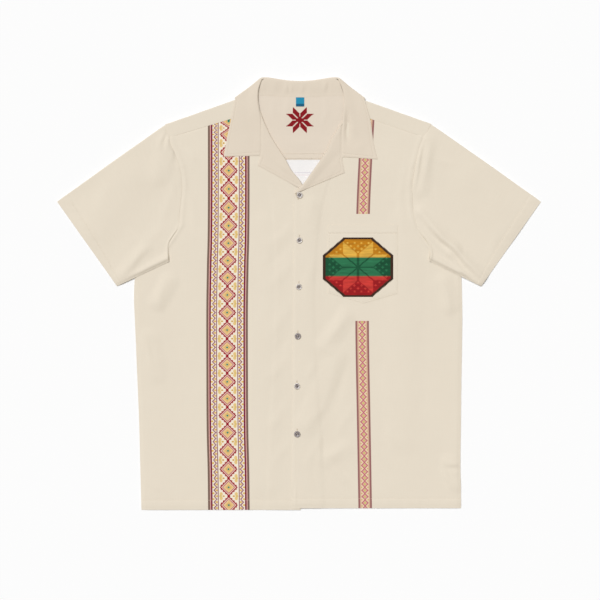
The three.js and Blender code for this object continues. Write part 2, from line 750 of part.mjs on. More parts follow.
function makePocket() {
  const cloth = new Cloth();
  const rows = [];
  const half = (POCKET.right - POCKET.left) / 2;
  for (let j = 0; j <= POCKET_STEPS; j += 1) {
    const x = mix(POCKET.left, POCKET.right, j / POCKET_STEPS);
    const out = Math.min(1, Math.abs(x - POCKET.pointX) / half);
    const foot = mix(POCKET.point, POCKET.side, out);
    const height = (px, py) => frontHeight("left", px, py) + LAYER;
    rows.push(straightRow({ x, y: foot }, { x, y: POCKET.top }, POCKET_STEPS, height));
  }
  cloth.grid(rows);
  return piece("pocket", thicken(cloth), CREAM);
}

function makeLabel() {
  const cloth = new Cloth();
  const rows = [];
  for (let j = 0; j <= LABEL_STEPS; j += 1) {
    const x = mix(LABEL.left, LABEL.right, j / LABEL_STEPS);
    const height = (px, py) => facingHeight(px, py) + LAYER;
    rows.push(straightRow({ x, y: LABEL.bottom }, { x, y: LABEL.top }, LABEL_STEPS, height));
  }
  cloth.grid(rows);
  return piece("neck_label", thicken(cloth), TEAL);
}

function circle(x, y, radius, sides) {
  const points = [];
  for (let k = 0; k < sides; k += 1) {
    const angle = (Math.PI * 2 * k) / sides;
    points.push(new THREE.Vector2(x + radius * Math.cos(angle), y + radius * Math.sin(angle)));
  }
  return points;
}

function makeButton(place, number) {
  const disc = new THREE.Shape(circle(0, 0, BUTTON.radius - BUTTON.chamfer, BUTTON.sides));
  for (const [sideX, sideY] of [[1, 1], [-1, 1], [-1, -1], [1, -1]]) {
    const { radius, spread, sides } = BUTTON_HOLE;
    const hole = circle(sideX * spread, sideY * spread, radius, sides);
    disc.holes.push(new THREE.Path(hole.reverse()));
  }
  const geometry = new THREE.ExtrudeGeometry(disc, {
    depth: BUTTON.thickness - BUTTON.chamfer * 2,
    bevelThickness: BUTTON.chamfer,
    bevelSize: BUTTON.chamfer,
    bevelSegments: 1,
  });
  const button = piece(`button_${number}`, geometry, PEARL);
  const seat = frontHeight("left", place.x, place.y) + WALL / 2 + BUTTON.clear;
  button.position.set(place.x, place.y, seat + BUTTON.chamfer);
  return button;
}

const shirt = new THREE.Group();
shirt.add(makeBack(), makeYoke(), makeFacing());
for (const side of ["right", "left"]) {
  shirt.add(makeFront(side), makeLapel(side), makeSleeve(side));
}
shirt.add(makeCollar(), makePocket(), makeLabel());
BUTTONS.forEach((place, i) => shirt.add(makeButton(place, i + 1)));

export default shirt;
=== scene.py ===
# %% [markdown]
# # A Hawaiian shirt, laid flat
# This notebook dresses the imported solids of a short-sleeved camp shirt. Every cut piece of cloth
# is worked out again as a thin shell on the same middle surface as its solid, with a much finer
# grid, and then gets the small folds, hems, stitches and prints that the solids leave out.
# Lengths are in millimetres while a shape is worked out, and in metres in the meshes.

import bmesh
import bpy
import numpy as np
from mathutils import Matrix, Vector


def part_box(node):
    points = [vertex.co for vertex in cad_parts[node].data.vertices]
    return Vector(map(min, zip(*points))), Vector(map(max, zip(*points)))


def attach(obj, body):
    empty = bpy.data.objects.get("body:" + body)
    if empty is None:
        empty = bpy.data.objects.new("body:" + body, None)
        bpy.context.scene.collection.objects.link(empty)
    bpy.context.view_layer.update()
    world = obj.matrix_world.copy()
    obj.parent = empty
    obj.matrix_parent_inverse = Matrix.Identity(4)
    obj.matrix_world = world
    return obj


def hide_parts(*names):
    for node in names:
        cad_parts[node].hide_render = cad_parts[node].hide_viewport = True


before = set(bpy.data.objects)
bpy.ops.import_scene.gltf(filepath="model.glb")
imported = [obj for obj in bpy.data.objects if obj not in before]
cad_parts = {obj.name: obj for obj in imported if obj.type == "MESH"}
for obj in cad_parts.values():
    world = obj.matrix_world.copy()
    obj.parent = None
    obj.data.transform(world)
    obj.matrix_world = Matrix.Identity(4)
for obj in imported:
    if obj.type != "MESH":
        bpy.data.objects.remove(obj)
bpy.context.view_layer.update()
MM = 0.001
print("nodes:", sorted(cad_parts))

# %% [markdown]
# ## Numbers
# A few helpers do the work of the whole notebook: a blend, a soft step, a smooth line through a
# table of points, and a gentle unevenness that is the same on each run.

# %% Helpers for numbers
def mix(a, b, t):
    """The value a share t of the way from a to b."""
    return a + (b - a) * t


def soft(low, high, value):
    """A step from 0 at low to 1 at high that starts and ends level: 3 t squared less 2 t cubed."""
    t = np.clip((value - low) / (high - low), 0, 1)
    return t * t * (3 - 2 * t)


def fade(low, high, value):
    """The opposite step, from 1 at low to 0 at high."""
    return 1 - soft(low, high, value)


def bell(t):
    """A bell-shaped bump: e to the power of -t squared, so 1 at t = 0 and 0.37 at t = 1."""
    return np.exp(-(t**2))


def line(table, at):
    """The smooth line through the rows (place, value, ...): a cubic whose slope at each row is the
    mean of the chords on both sides of it. It returns one array per value column."""
    rows = np.array(table, float)
    at = np.clip(np.asarray(at, float), rows[0, 0], rows[-1, 0])
    chord = np.diff(rows[:, 1:], axis=0) / np.diff(rows[:, 0])[:, None]
    slope = np.vstack([chord[:1], (chord[1:] + chord[:-1]) / 2, chord[-1:]])
    i = np.clip(np.searchsorted(rows[:, 0], at, side="right") - 1, 0, len(rows) - 2)
    step = rows[i + 1, 0] - rows[i, 0]
    t = ((at - rows[i, 0]) / step)[..., None]
    step = step[..., None]
    low, high = rows[i, 1:], rows[i + 1, 1:]
    bent = (low * (1 + 2 * t) + slope[i] * step * t) * (1 - t) ** 2
    bent += (high * (3 - 2 * t) + slope[i + 1] * step * (t - 1)) * t**2
    return bent[..., 0] if bent.shape[-1] == 1 else tuple(np.moveaxis(bent, -1, 0))


def uneven(x, y, size, seed):
    """A soft unevenness from about -1 to 1: random heights on a square net of the given size,
    blended with soft steps between the knots of the net."""
    net = np.random.default_rng(seed).uniform(-1, 1, (64, 64))
    u, v = np.asarray(x) / size + 500, np.asarray(y) / size + 500
    i, j = np.floor(u).astype(int), np.floor(v).astype(int)
    s, t = soft(0, 1, u - i), soft(0, 1, v - j)
    low = mix(net[i % 64, j % 64], net[(i + 1) % 64, j % 64], s)
    high = mix(net[i % 64, (j + 1) % 64], net[(i + 1) % 64, (j + 1) % 64], s)
    return mix(low, high, t)


print("a soft step from 0 to 1:", soft(0, 1, np.linspace(0, 1, 5)))

# %% [markdown]
# ## The cut of the shirt
# These tables say where the edges of the pieces lie, read up from the hem, as (y, distance from
# the middle). A tailor would have them as paper patterns. They repeat the sizes of the solids,
# because a dressed piece has to stay where its solid is.
# The shoulder runs from its tip to the neck, and the overhang is the sleeve's corner over the
# front. The placket has the front edge's x at the hem, its x at the break, and the break's y. A
# lapel's edge is read by rows of the armhole's table.

# %% Sizes and edges
LAYER = 1.5  # height from one layer of cloth to the next
TABLE = 0.5  # height of the lowest middle surface
WALL = 1.0  # thickness of the cloth in the solids
SHELL = 0.56  # thickness of the cloth here
SEAM = 0.6  # room that is left beside a seam
YOKE_SEAM_Y = 234
NECK_X = 1.5  # middle of the neck
CUFF_TOP, CUFF_FOOT = (423.5, 161.0), (318.5, 13.0)  # the two corners of a cuff
YOKE_TURN = 2.0  # how far inside its outline the shoulder starts to turn
LAPEL_RADIUS = 1.5  # radius of a lapel's turn in the solids
HEM_DEPTH = 17.0

NECK_SEAM = [(-66.5, 347.4), (-54.5, 346.4), (-36.5, 345.2), (-17.5, 344.3), (1.5, 343.9),
             (20.5, 344.3), (39.5, 345.2), (57.5, 346.4), (70, 347.4)]

SIDE = {
    "right": dict(
        sign=-1,
        body=[(-378.4, 275.6), (-305, 277.6), (-221, 279.8), (-137, 283.3), (-53, 286.8),
              (-8, 288.6), (36, 287)],
        armhole=[(36, 287), (60, 256), (80, 236), (93.6, 225.8), (103.3, 219.5), (118, 210.5),
                 (134, 209), (157, 206.7), (180, 204.2), (204, 205.5), (223, 209), (234, 213),
                 (246, 217.2), (262.5, 225), (272.5, 229), (284, 232.5)],
        tip=(234.5, 295.8), neck=(77, 351), yoke_front=(68.3, 321),
        overhang=[(56, 226.6), (76, 228)], underarm=(285, 34, 229, 78),
        placket=(-2.5, -9.5, 187.5),
        roll=[(187.5, -2), (193, -4.6), (216, 13.3), (236, 24), (254, 36), (272, 47.4),
              (295, 58.4), (305, 62.6), (321, 67.6)],
        lapel=[(7, 72.3, 224), (8, 69.8, 232), (9, 67.2, 240), (10, 66.3, 256), (11, 66.2, 272),
               (12, 66.2, 287), (13, 67.2, 306), (14, 69.5, 320)], lapel_end=13.7,
    ),
    "left": dict(
        sign=1,
        body=[(-375.4, 283.5), (-347, 283.2), (-305, 282.3), (-221, 283.3), (-95, 284.9),
              (-32, 285.6), (38, 284)],
        armhole=[(38, 284), (58, 256), (78, 234), (92, 223.5), (104.8, 213.9), (118, 207),
                 (134, 201.5), (157, 198.4), (180, 197.6), (204, 199.5), (223, 203.4),
                 (234, 206.5), (250, 210.8), (262.5, 214.6), (273.5, 219), (285, 224.5)],
        tip=(231, 297), neck=(80, 350), yoke_front=(77, 322),
        overhang=[(57, 227.5), (76, 228.7)], underarm=(283, 35, 228, 78),
        placket=(-13, -8.5, 176),
        roll=[(176, -7), (193, 8.2), (213, 22.6), (234, 37.6), (248, 47.4), (274, 58.6),
              (281, 63.5), (291.4, 70), (302, 76.6), (322, 77)],
        lapel=[(7, 79.6, 211), (8, 77.2, 226), (9, 75, 237.6), (10, 74.8, 254), (11, 74.9, 270),
               (12, 75, 287), (13, 77.5, 305), (14, 79, 318)], lapel_end=12.7,
    ),
}
for cut in SIDE.values():
    cut["rows"] = [(row, y, x) for row, (y, x) in enumerate(cut["armhole"])]
print("half chest:", SIDE["left"]["body"][-2][1] + SIDE["right"]["body"][-2][1], "mm")

# %% [markdown]
# ## Folds
# Cloth that lies on a table is never quite flat. Each fold here is a soft ridge or trough along a
# broken line, listed as its height in the middle, its width on both sides, and its points. A fold
# fades towards its ends. The first lists are the broad swells that the solids have too.

# %% Swells and folds
SWELLS = {
    "front_right": [(2.6, 22, (-227, 22), (-247, -14)), (1.6, 24, (-262, -78), (-250, -140)),
                    (1.6, 62, (-165, 150), (-150, -260)), (1.1, 34, (-60, 120), (-60, -330))],
    "front_left": [(2.2, 24, (80, -40), (47, -92)), (1.8, 26, (66, -110), (12, -230)),
                   (1.3, 22, (79, -270), (45, -290)), (1.6, 20, (22, 155), (20, 135)),
                   (1.6, 20, (262, -295), (272, -335)), (1.6, 40, (184, 120), (180, -250)),
                   (2.2, 22, (252, 20), (262, -20))],
    "sleeve_right": [(2.4, 20, (-271, 78), (-309, 31)), (2.2, 52, (-300, 190), (-360, 120)),
                     (1.8, 24, (-236, 262), (-246, 205))],
    "sleeve_left": [(3.2, 20, (212, 139), (269, 77)), (2.6, 20, (269, 77), (322, 22)),
                    (2.4, 22, (222, 262), (212, 185)), (2.2, 52, (300, 190), (360, 120))],
}
FOLDS = {
    "front_right": [
        (1.0, 11, (-12, 122), (-30, 100), (-56, 84)), (0.9, 12, (-12, 62), (-34, 30), (-54, 10)),
        (-0.6, 9, (-12, 88), (-36, 66), (-58, 44)), (0.9, 12, (-14, -16), (-36, -52), (-52, -76)),
        (0.8, 12, (-14, -104), (-40, -136), (-60, -150)), (-0.5, 9, (-14, -70), (-44, -108)),
        (0.9, 13, (-16, -186), (-42, -222), (-62, -244)), (0.7, 10, (-16, -262), (-48, -300)),
        (1.0, 9, (-236, 24), (-245, -6), (-243, -34)), (-0.8, 7, (-247, 22), (-257, -10)),
        (0.9, 8, (-272, -70), (-262, -116), (-254, -142)), (-0.6, 6, (-262, -80), (-252, -120)),
        (0.7, 9, (-200, 196), (-186, 150), (-182, 96)), (0.8, 7, (-196, 252), (-176, 226)),
        (0.5, 16, (-90, 60), (-84, -120), (-92, -260)), (0.6, 9, (-262, -330), (-236, -344)),
    ],
    "front_left": [
        (1.2, 10, (82, -38), (62, -66), (44, -92)), (-0.8, 8, (70, -26), (52, -58)),
        (1.0, 11, (68, -108), (46, -196), (12, -232)), (-0.7, 9, (84, -120), (62, -196)),
        (0.9, 9, (80, -270), (46, -292)), (0.8, 10, (30, -120), (14, -150)),
        (0.9, 12, (28, 60), (14, 20), (12, -20)), (0.8, 10, (36, 128), (18, 108)),
        (0.7, 10, (96, -196), (64, -250)), (0.7, 9, (36, -256), (14, -300)),
        (1.3, 5, (262, -297), (281, -299)), (-1.3, 4.5, (258, -305), (281, -307)),
        (1.1, 6, (248, -308), (268, -338)), (-1.0, 6, (257, -302), (275, -332)),
        (-0.5, 5, (44, -244), (43, -270), (43, -304)), (0.6, 6, (36, -240), (35, -300)),
        (-0.7, 2.4, (-8.6, -330), (-9.6, -350), (-10.2, -374)),
        (-0.6, 2.4, (-2, -336), (-2.4, -374)), (0.9, 7, (54, -300), (88, -338)),
        (-0.8, 6, (62, -292), (98, -330)), (1.1, 8, (250, 22), (262, -16), (264, -44)),
        (-0.8, 7, (240, 22), (250, -12)), (0.7, 9, (190, 230), (176, 170), (184, 110)),
        (0.5, 16, (150, -60), (160, -260)),
    ],
    "sleeve_right": [
        (1.1, 8, (-272, 80), (-292, 52), (-311, 29)), (-0.8, 6, (-262, 74), (-286, 46)),
        (1.2, 5, (-222, 288), (-229, 268), (-230, 250)),
        (-1.4, 4, (-228, 284), (-236, 266), (-237, 250)),
        (1.0, 4, (-234, 282), (-242, 266), (-244, 252)),
        (-1.1, 4, (-212, 268), (-217, 246), (-214, 226)),
        (0.8, 7, (-220, 250), (-228, 226), (-226, 200)),
        (0.8, 10, (-214, 200), (-232, 150), (-246, 110)), (0.6, 14, (-330, 196), (-352, 150)),
        (0.7, 9, (-228, 118), (-262, 96), (-300, 92)), (0.6, 10, (-352, 120), (-330, 70)),
    ],
    "sleeve_left": [
        (2.6, 7, (212, 144), (236, 113), (251, 97), (273, 80), (295, 54), (324, 26)),
        (-2.5, 6, (206, 137), (230, 107), (246, 90), (267, 74), (289, 47), (320, 20)),
        (1.8, 4, (262, 68), (284, 40), (314, 15)), (1.0, 8, (214, 126), (236, 96), (256, 72)),
        (-2.6, 13, (258, 90), (270, 78), (282, 64)),
        (1.1, 4, (214, 262), (209, 236), (206, 211), (201, 186)),
        (-1.9, 4, (220, 264), (216, 236), (213, 211), (206, 176)),
        (1.0, 5, (229, 258), (225, 232), (221, 206)),
        (0.8, 8, (222, 250), (246, 232), (274, 226)),
        (0.8, 10, (214, 180), (236, 140), (262, 116)), (0.7, 12, (330, 200), (352, 150)),
        (0.6, 10, (352, 116), (332, 66)),
    ],
    "collar": [
        (-2.6, 6, (84, 320), (85.5, 294), (84, 264)), (0.6, 8, (95, 300), (97, 270)),
        (0.5, 10, (-100, 300), (-84, 262)), (0.4, 9, (116, 262), (96, 250)),
    ],
    "stand": [
        (0.9, 4, (-23, 374), (-22, 346)), (0.7, 3.5, (-14, 372), (-13, 348)),
        (0.7, 4, (5, 371), (6, 348)), (0.8, 5, (46, 374), (44, 350)),
        (-0.6, 4, (52, 374), (50, 350)),
    ],
    "inner_yoke": [
        (0.7, 5, (-18, 344), (-22, 322), (-20, 300)), (0.6, 6, (44, 344), (48, 318), (42, 296)),
        (0.5, 6, (-48, 336), (-44, 306)), (0.5, 10, (-30, 270), (4, 262), (40, 272)),
    ],
}


def distance(x, y, start, end):
    """How far each point lies from a straight stretch, and the share of the stretch it lies at."""
    along = np.subtract(end, start)
    share = ((x - start[0]) * along[0] + (y - start[1]) * along[1]) / (along @ along)
    share = np.clip(share, 0, 1)
    return np.hypot(x - start[0] - along[0] * share, y - start[1] - along[1] * share), share


def swell(name, x, y):
    """The sum of the broad swells: height times (1 less the squared reach) squared."""
    total = np.zeros(np.shape(x))
    for height, width, start, end in SWELLS.get(name, []):
        reach = np.minimum(distance(x, y, start, end)[0] / width, 1)
        total += height * (1 - reach**2) ** 2
    return total


def folded(name, x, y):
    """The sum of the small folds. Each has a bell-shaped section about its broken line, and its
    height rises and falls along it as a half wave."""
    total = np.zeros(np.shape(x))
    for height, width, *path in FOLDS.get(name, []):
        nearest, share = np.full(np.shape(x), 1e9), np.zeros(np.shape(x))
        for k in range(len(path) - 1):
            away, t = distance(x, y, path[k], path[k + 1])
            share = np.where(away < nearest, (k + t) / (len(path) - 1), share)
            nearest = np.minimum(away, nearest)
        rise = 0.25 + 0.75 * np.sin(np.pi * np.clip(share, 0, 1))
        total += height * rise * np.exp(-((nearest / width) ** 2) * 1.6)
    return total


print("folds laid by hand:", {name: len(folds) for name, folds in FOLDS.items()})

# %% [markdown]
# ## Heights
# The pieces lie on each other, so a height is worked out from the table up: the back, the inner
# yoke, the fronts, and on them the pocket, the lapels and the collar. Whatever lies on a front
# uses the same height function as that front, so it rides over the same folds.

# %% Height functions
COLLAR_REST = (NECK_X, 375, 170, 56, 1.9)
FACING_EDGE = {"right": [(-378, 56), (180, 50), (240, 66)],
               "left": [(-376, 42), (180, 46), (240, 74)]}


def back_height(x, y):
    """Flat on the table, and one layer up all round the collar that is turned under it."""
    middle_x, middle_y, half_x, half_y, faded = COLLAR_REST
    reach = np.hypot((x - middle_x) / half_x, (y - middle_y) / half_y)
    return TABLE + LAYER * fade(1, faded, reach)


def inner_yoke_height(x, y):
    """One layer above the back, with a few small folds near the neck."""
    return back_height(x, y) + LAYER + folded("inner_yoke", x, y)


def front_height(side, x, y):
    """On the back, one layer more over the inner yoke, one more where the left front laps over,
    and then the swells, the folds, the inner edge of the facing and a slight unevenness."""
    name, sign = f"front_{side}", SIDE[side]["sign"]
    lap = fade(12, 54, x) if side == "left" else 0
    height = back_height(x, y) + LAYER * (1 + soft(170, 226, y) + lap)
    height = height + swell(name, x, y) + folded(name, x, y)
    facing = line(FACING_EDGE[side], y) - x * sign
    height = height + 0.6 * soft(-2.2, 2.2, facing) * fade(180, 240, y)
    return height + 0.28 * uneven(x, y, 46, 3) + 0.1 * uneven(x, y, 15, 4)


def sleeve_height(side, x, y):
    """On the sleeve's lower layer, one layer more over the yoke's shoulder, and one more where the
    sleeve lies over the underarm corner of the front."""
    x0, y0, x1, y1 = SIDE[side]["underarm"]
    reach = distance(SIDE[side]["sign"] * x, y, (x0, y0), (x1, y1))[0] - 16
    name = f"sleeve_{side}"
    height = TABLE + LAYER * (2 + soft(170, 226, y) - soft(0, 46, reach))
    height = height + swell(name, x, y) + folded(name, x, y)
    return height + 0.25 * uneven(x, y, 40, 5) + 0.08 * uneven(x, y, 13, 6)


print("height of the left front at the pocket:",
      round(float(front_height("left", 110.0, 60.0)), 2), "mm")

# %% [markdown]
# ## From a grid of points to a piece of cloth
# A sheet is a grid of points on its middle surface. Patches of one piece share their edge points
# and are merged. Solidify gives the sheet its thickness, and its material offset gives the
# printed cloth a white inside, as a cloth has that is printed on one side only.

# %% Make a piece of cloth
made = {}


def grid_faces(rows, columns, first=0):
    """The quads of a grid of points, counted row by row."""
    k = np.arange(rows * columns).reshape(rows, columns) + first
    corners = [k[:-1, :-1], k[1:, :-1], k[1:, 1:], k[:-1, 1:]]
    return np.stack([c.ravel() for c in corners], axis=1)


def mesh_piece(name, points, faces):
    """A smooth mesh object at the origin, from an array of points in millimetres and from faces."""
    mesh = bpy.data.meshes.new(name)
    mesh.from_pydata((points.reshape(-1, 3) * MM).tolist(), [], faces)
    mesh.shade_smooth()
    piece = made[name] = bpy.data.objects.new(name, mesh)
    bpy.context.scene.collection.objects.link(piece)
    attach(piece, "root")
    return piece


def merge(mesh, reach):
    """Makes one point of those that lie closer than a reach in millimetres."""
    work = bmesh.new()
    work.from_mesh(mesh)
    bmesh.ops.remove_doubles(work, verts=work.verts, dist=reach * MM)
    work.to_mesh(mesh)
    work.free()


def keep_places(piece, label, places):
    """Keeps a place for each point of a piece under a label, so that its finish can read it."""
    kept = piece.data.attributes.new(label, "FLOAT_VECTOR", "POINT")
    kept.data.foreach_set("vector", np.asarray(places, np.float32).ravel())


def cloth_piece(name, patches, node, grain=np.array, shell=SHELL):
    """A thin shell from one or more patches, which are grids of points (rows, columns, 3). The
    function grain gives each patch's places on the flat cut, which are its own x and y unless the
    cloth turns over. The cut edges are marked sharp, so that the thin rim does not darken the
    cloth beside it."""
    counts = np.cumsum([0] + [patch.size // 3 for patch in patches])
    faces = [grid_faces(*patch.shape[:2], first) for patch, first in zip(patches, counts)]
    points, places = (np.concatenate([turn(patch).reshape(-1, 3) for patch in patches])
                      for turn in (np.array, grain))
    piece = mesh_piece(name, points, np.concatenate(faces).tolist())
    keep_places(piece, "grain", places)
    if len(patches) > 1:
        merge(piece.data, 0.02)
    edge_of_corner = np.zeros(len(piece.data.loops), np.int32)
    piece.data.loops.foreach_get("edge_index", edge_of_corner)
    faces_at_edge = np.bincount(edge_of_corner, minlength=len(piece.data.edges))
    piece.data.edges.foreach_set("use_edge_sharp", faces_at_edge == 1)
    wall = piece.modifiers.new("thickness", "SOLIDIFY")
    wall.thickness = shell * MM
    wall.offset = 0
    wall.material_offset = 1
    wall.material_offset_rim = 0
    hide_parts(node)
    area = sum(p.area for p in piece.data.polygons)
    print(f"{name}: {len(piece.data.polygons)} quads, {area:.4f} m2 of cloth")
    return piece


def surface(x, y, z):
    """A grid of points from three arrays, each of which may be a column, a row or one number."""
    return np.dstack(np.broadcast_arrays(x, y, z))


def facing(points, rows=slice(None), columns=slice(None), up=True):
    """The grid with the side that is the outside of the shirt as its front: its columns are
    reversed if the mean normal of the named part, the cross product of its steps, points wrong."""
    normal = np.cross(np.gradient(points, axis=0), np.gradient(points, axis=1))
    is_up = normal[rows, columns, 2].mean() > 0
    return points if is_up == up else points[:, ::-1]


def spaced(length, fine, coarse, near_start, near_end):
    """Shares from 0 to 1 along a length: fine steps as far as near_start and near_end from its
    two ends, and coarse steps between. All are in millimetres."""
    start = np.arange(0, near_start, fine)
    end = length - np.arange(0, near_end, fine)[::-1]
    count = max(2, int(round((end[0] - near_start) / coarse)))
    middle = np.linspace(near_start, end[0], count, endpoint=False)
    return np.concatenate([start, middle, end]) / length


# %% [markdown]
# ## The edges that the pieces share
# The front edge runs straight up to the break, where the lapel turns back, and then just inside
# the roll line. The armhole and the side seam are read from their tables. These small functions
# are used by the fronts, the lapels, the yoke and the sleeves.

# %% Shared edges
def outline(side, y):
    """The side seam up to the armpit, and the armhole above it."""
    cut = SIDE[side]
    armpit = cut["armhole"][0][0]
    return np.where(y < armpit, line(cut["body"], y), line(cut["armhole"], y)) * cut["sign"]


def centre_height(side, y):
    """The height on the front edge that belongs to a height on the side: equal shares of the
    stretches below the armpit, from there to the break, and from the break to the yoke."""
    cut = SIDE[side]
    low, bend, high = cut["armhole"][0][0], cut["armhole"][7][0], cut["armhole"][14][0]
    _, _, break_y = cut["placket"]
    seam_y = cut["yoke_front"][1] - 1
    return np.interp(y, [-400, low, bend, high, high + 9], [-400, low, break_y, seam_y, seam_y + 9])


def roll_at(side, y):
    """The roll line's point at a height, and the direction across it into the cloth."""
    cut = SIDE[side]
    x = line(cut["roll"], y) * cut["sign"]
    below, above = (line(cut["roll"], y + step) * cut["sign"] for step in (-4, 4))
    length = np.hypot(above - below, 8)
    return x, cut["sign"] * 8 / length, -cut["sign"] * (above - below) / length


def front_edge(side, y):
    """The front's edge at a height: the placket below the break, and above it the roll line less
    a turn."""
    cut = SIDE[side]
    hem_x, break_x, break_y = cut["placket"]
    hem_y = cut["body"][0][0]
    placket = cut["sign"] * mix(hem_x, break_x, (y - hem_y) / (break_y - hem_y))
    x, in_x, in_y = roll_at(side, np.maximum(y, break_y))
    back = LAPEL_RADIUS + WALL / 2 + SEAM
    above = soft(break_y - 12, break_y + 1, y)
    return mix(placket, x + in_x * back, above), y + in_y * back * above


print("break of the lapels at y =", {side: SIDE[side]["placket"][2] for side in SIDE}, "mm")

# %% [markdown]
# ## Back
# The back is one panel from the hem to the yoke seam. It lies on the table, so it is flat below,
# and all that shows of it from above is a small triangle of its white inside, in the neck. Its
# underside is the outside of the shirt.

# %% Make the back
def hem_relief(depth, x, seed):
    """What a turned hem adds: the height of the extra layers, a groove along the stitches, and
    puckers that die out above it. depth is the distance from the edge."""
    turned = 0.28 * fade(HEM_DEPTH - 1, HEM_DEPTH + 1.5, depth)
    groove = -0.36 * bell((depth - HEM_DEPTH) / 1.5)
    pucker = uneven(x, x * 0, 7, seed) + 0.6 * uneven(x + depth * 0.5, x * 0, 17, seed + 1)
    return turned + groove + 0.2 * pucker * bell((depth - HEM_DEPTH + 3) / 9)


def back_grid():
    """Rows run across from the right edge to the left edge, from the hem up to the yoke seam."""
    up = spaced(609, 2, 6, 24, 6)[:, None]
    across = spaced(560, 1.5, 6, 12, 12)[None, :]
    y = {side: mix(SIDE[side]["body"][0][0], YOKE_SEAM_Y, up) for side in SIDE}
    x = {side: outline(side, y[side]) for side in SIDE}
    px = mix(x["right"], x["left"], across)
    py = mix(y["right"], y["left"], across)
    near = np.minimum(px - x["right"], x["left"] - px)
    z = back_height(px, py) + 0.25 * fade(0, 5, near) * (py < 30)
    return np.dstack([px, py, z])


cloth_piece("back_cloth", [facing(back_grid(), up=False)], "back_panel")

# %% [markdown]
# ## Yoke
# The outer yoke is one piece. It lies under the shirt at the back, turns over both shoulders and
# ends at the forward seams. Three patches make it: two shoulders, each carried round its turn,
# and the part behind the neck between them.

# %% Make the outer yoke
YOKE_ROWS = 22


def neck_stations(count):
    """Places across the neck seam, from its right end to its left end."""
    return np.linspace(NECK_SEAM[0][0], NECK_SEAM[-1][0], count)


def shoulder(side):
    """The shoulder's fold: its outward direction, and a function from a share of the way from the
    tip to a point on its line, a small distance inside it."""
    cut = SIDE[side]
    (tx, ty), (nx, ny) = cut["tip"], cut["neck"]
    length = np.hypot(nx - tx, ny - ty)
    normal = np.array([cut["sign"] * (ny - ty), -(nx - tx)]) / length

    def fold(t, inset):
        return (cut["sign"] * mix(tx, nx, t) - normal[0] * inset,
                mix(ty, ny, t) - normal[1] * inset)

    return normal, fold


def half_turn(steps):
    """The cosine and sine shares of a half circle from its low end to its high end."""
    angle = np.pi * (np.arange(1, steps) / steps - 0.5)
    return np.cos(angle), np.sin(angle)


def yoke_shoulder(side):
    """Columns from the armhole to the neck. Each goes up the back, half round the shoulder, and
    down to the forward seam."""
    cut = SIDE[side]
    sign = cut["sign"]
    normal, fold = shoulder(side)
    t = np.linspace(0, 1, 50)[:, None]
    low_x, low_y = fold(t, YOKE_TURN)
    up = np.linspace(0, 1, YOKE_ROWS)[None, :-1]
    seam_x = mix(outline(side, YOKE_SEAM_Y), sign * 70, t)
    back_x, back_y = mix(seam_x, low_x, up), mix(YOKE_SEAM_Y, low_y, up)
    edge = outline(side, np.minimum(back_y, 284))
    back_x = mix(back_x, edge + (back_x - mix(seam_x[0], low_x[0], up)), (1 - t) ** 4)
    back_z = back_height(back_x, back_y)
    low, high = back_height(low_x, low_y), front_height(side, low_x, low_y)
    cos, sin = half_turn(14)
    reach = (high - low) / 2
    turn_x, turn_y = low_x + normal[0] * reach * cos, low_y + normal[1] * reach * cos
    turn_z = (low + high) / 2 + reach * sin
    (foot_y, foot_x), (neck_x, neck_y) = cut["armhole"][14], cut["yoke_front"]
    foot_x = sign * mix(foot_x, neck_x + LAPEL_RADIUS + 0.5, t)
    foot_y = mix(foot_y, neck_y - 1, t) - 0.2
    down = spaced(24, 0.8, 1.6, 4, 6)[None, :]
    front_x, front_y = mix(low_x, foot_x, down), mix(low_y, foot_y, down)
    away = (1 - down) * 24
    front_z = front_height(side, front_x, front_y) - 0.12 * bell(away / 2.2)
    front_z = front_z + 0.12 * uneven(front_x, front_y, 9, 12) * bell(away / 7)
    columns = [(back_x, back_y, back_z), (low_x, low_y, low), (turn_x, turn_y, turn_z),
               (front_x, front_y, front_z)]
    return np.concatenate([surface(*column) for column in columns], axis=1)


def along_cloth(points):
    """The grain of a folded patch: where each point lies on the flat cut, from the lengths of the
    steps along the grid's rows and columns."""
    step = np.linalg.norm(np.diff(points, axis=1), axis=2)
    run = np.concatenate([np.zeros((len(points), 1)), np.cumsum(step, axis=1)], axis=1)
    side = np.linalg.norm(np.diff(points[:, 0], axis=0), axis=1)
    down = np.concatenate([[0], np.cumsum(side)])[:, None]
    return surface(down, run, 0)


def behind_neck(right, left):
    """The part between the shoulders. Its first and last rows are the shoulders' own last columns,
    and the rest run up from the yoke seam to the neck seam."""
    x, up = neck_stations(40)[:, None], np.linspace(0, 1, YOKE_ROWS)[None, :]
    y = mix(YOKE_SEAM_Y, line(NECK_SEAM, x), up)
    between = surface(x, y, back_height(x, y))
    return np.concatenate([right[-1:, :YOKE_ROWS], between, left[:1, :YOKE_ROWS]])


right, left = yoke_shoulder("right"), yoke_shoulder("left")[::-1]
patches = [facing(patch, columns=slice(0, 10), up=False)
           for patch in (right, behind_neck(right, left), left)]
cloth_piece("back_yoke_cloth", patches, "back_yoke", grain=along_cloth)

# %% [markdown]
# ## Inner yoke
# The second layer of the yoke shows inside the neck. Its lower edge is turned and sewn down with
# two rows of stitches, so it is a little thicker there.

# %% Make the inner yoke
YOKE_STITCHES = (2.5, 10.5)


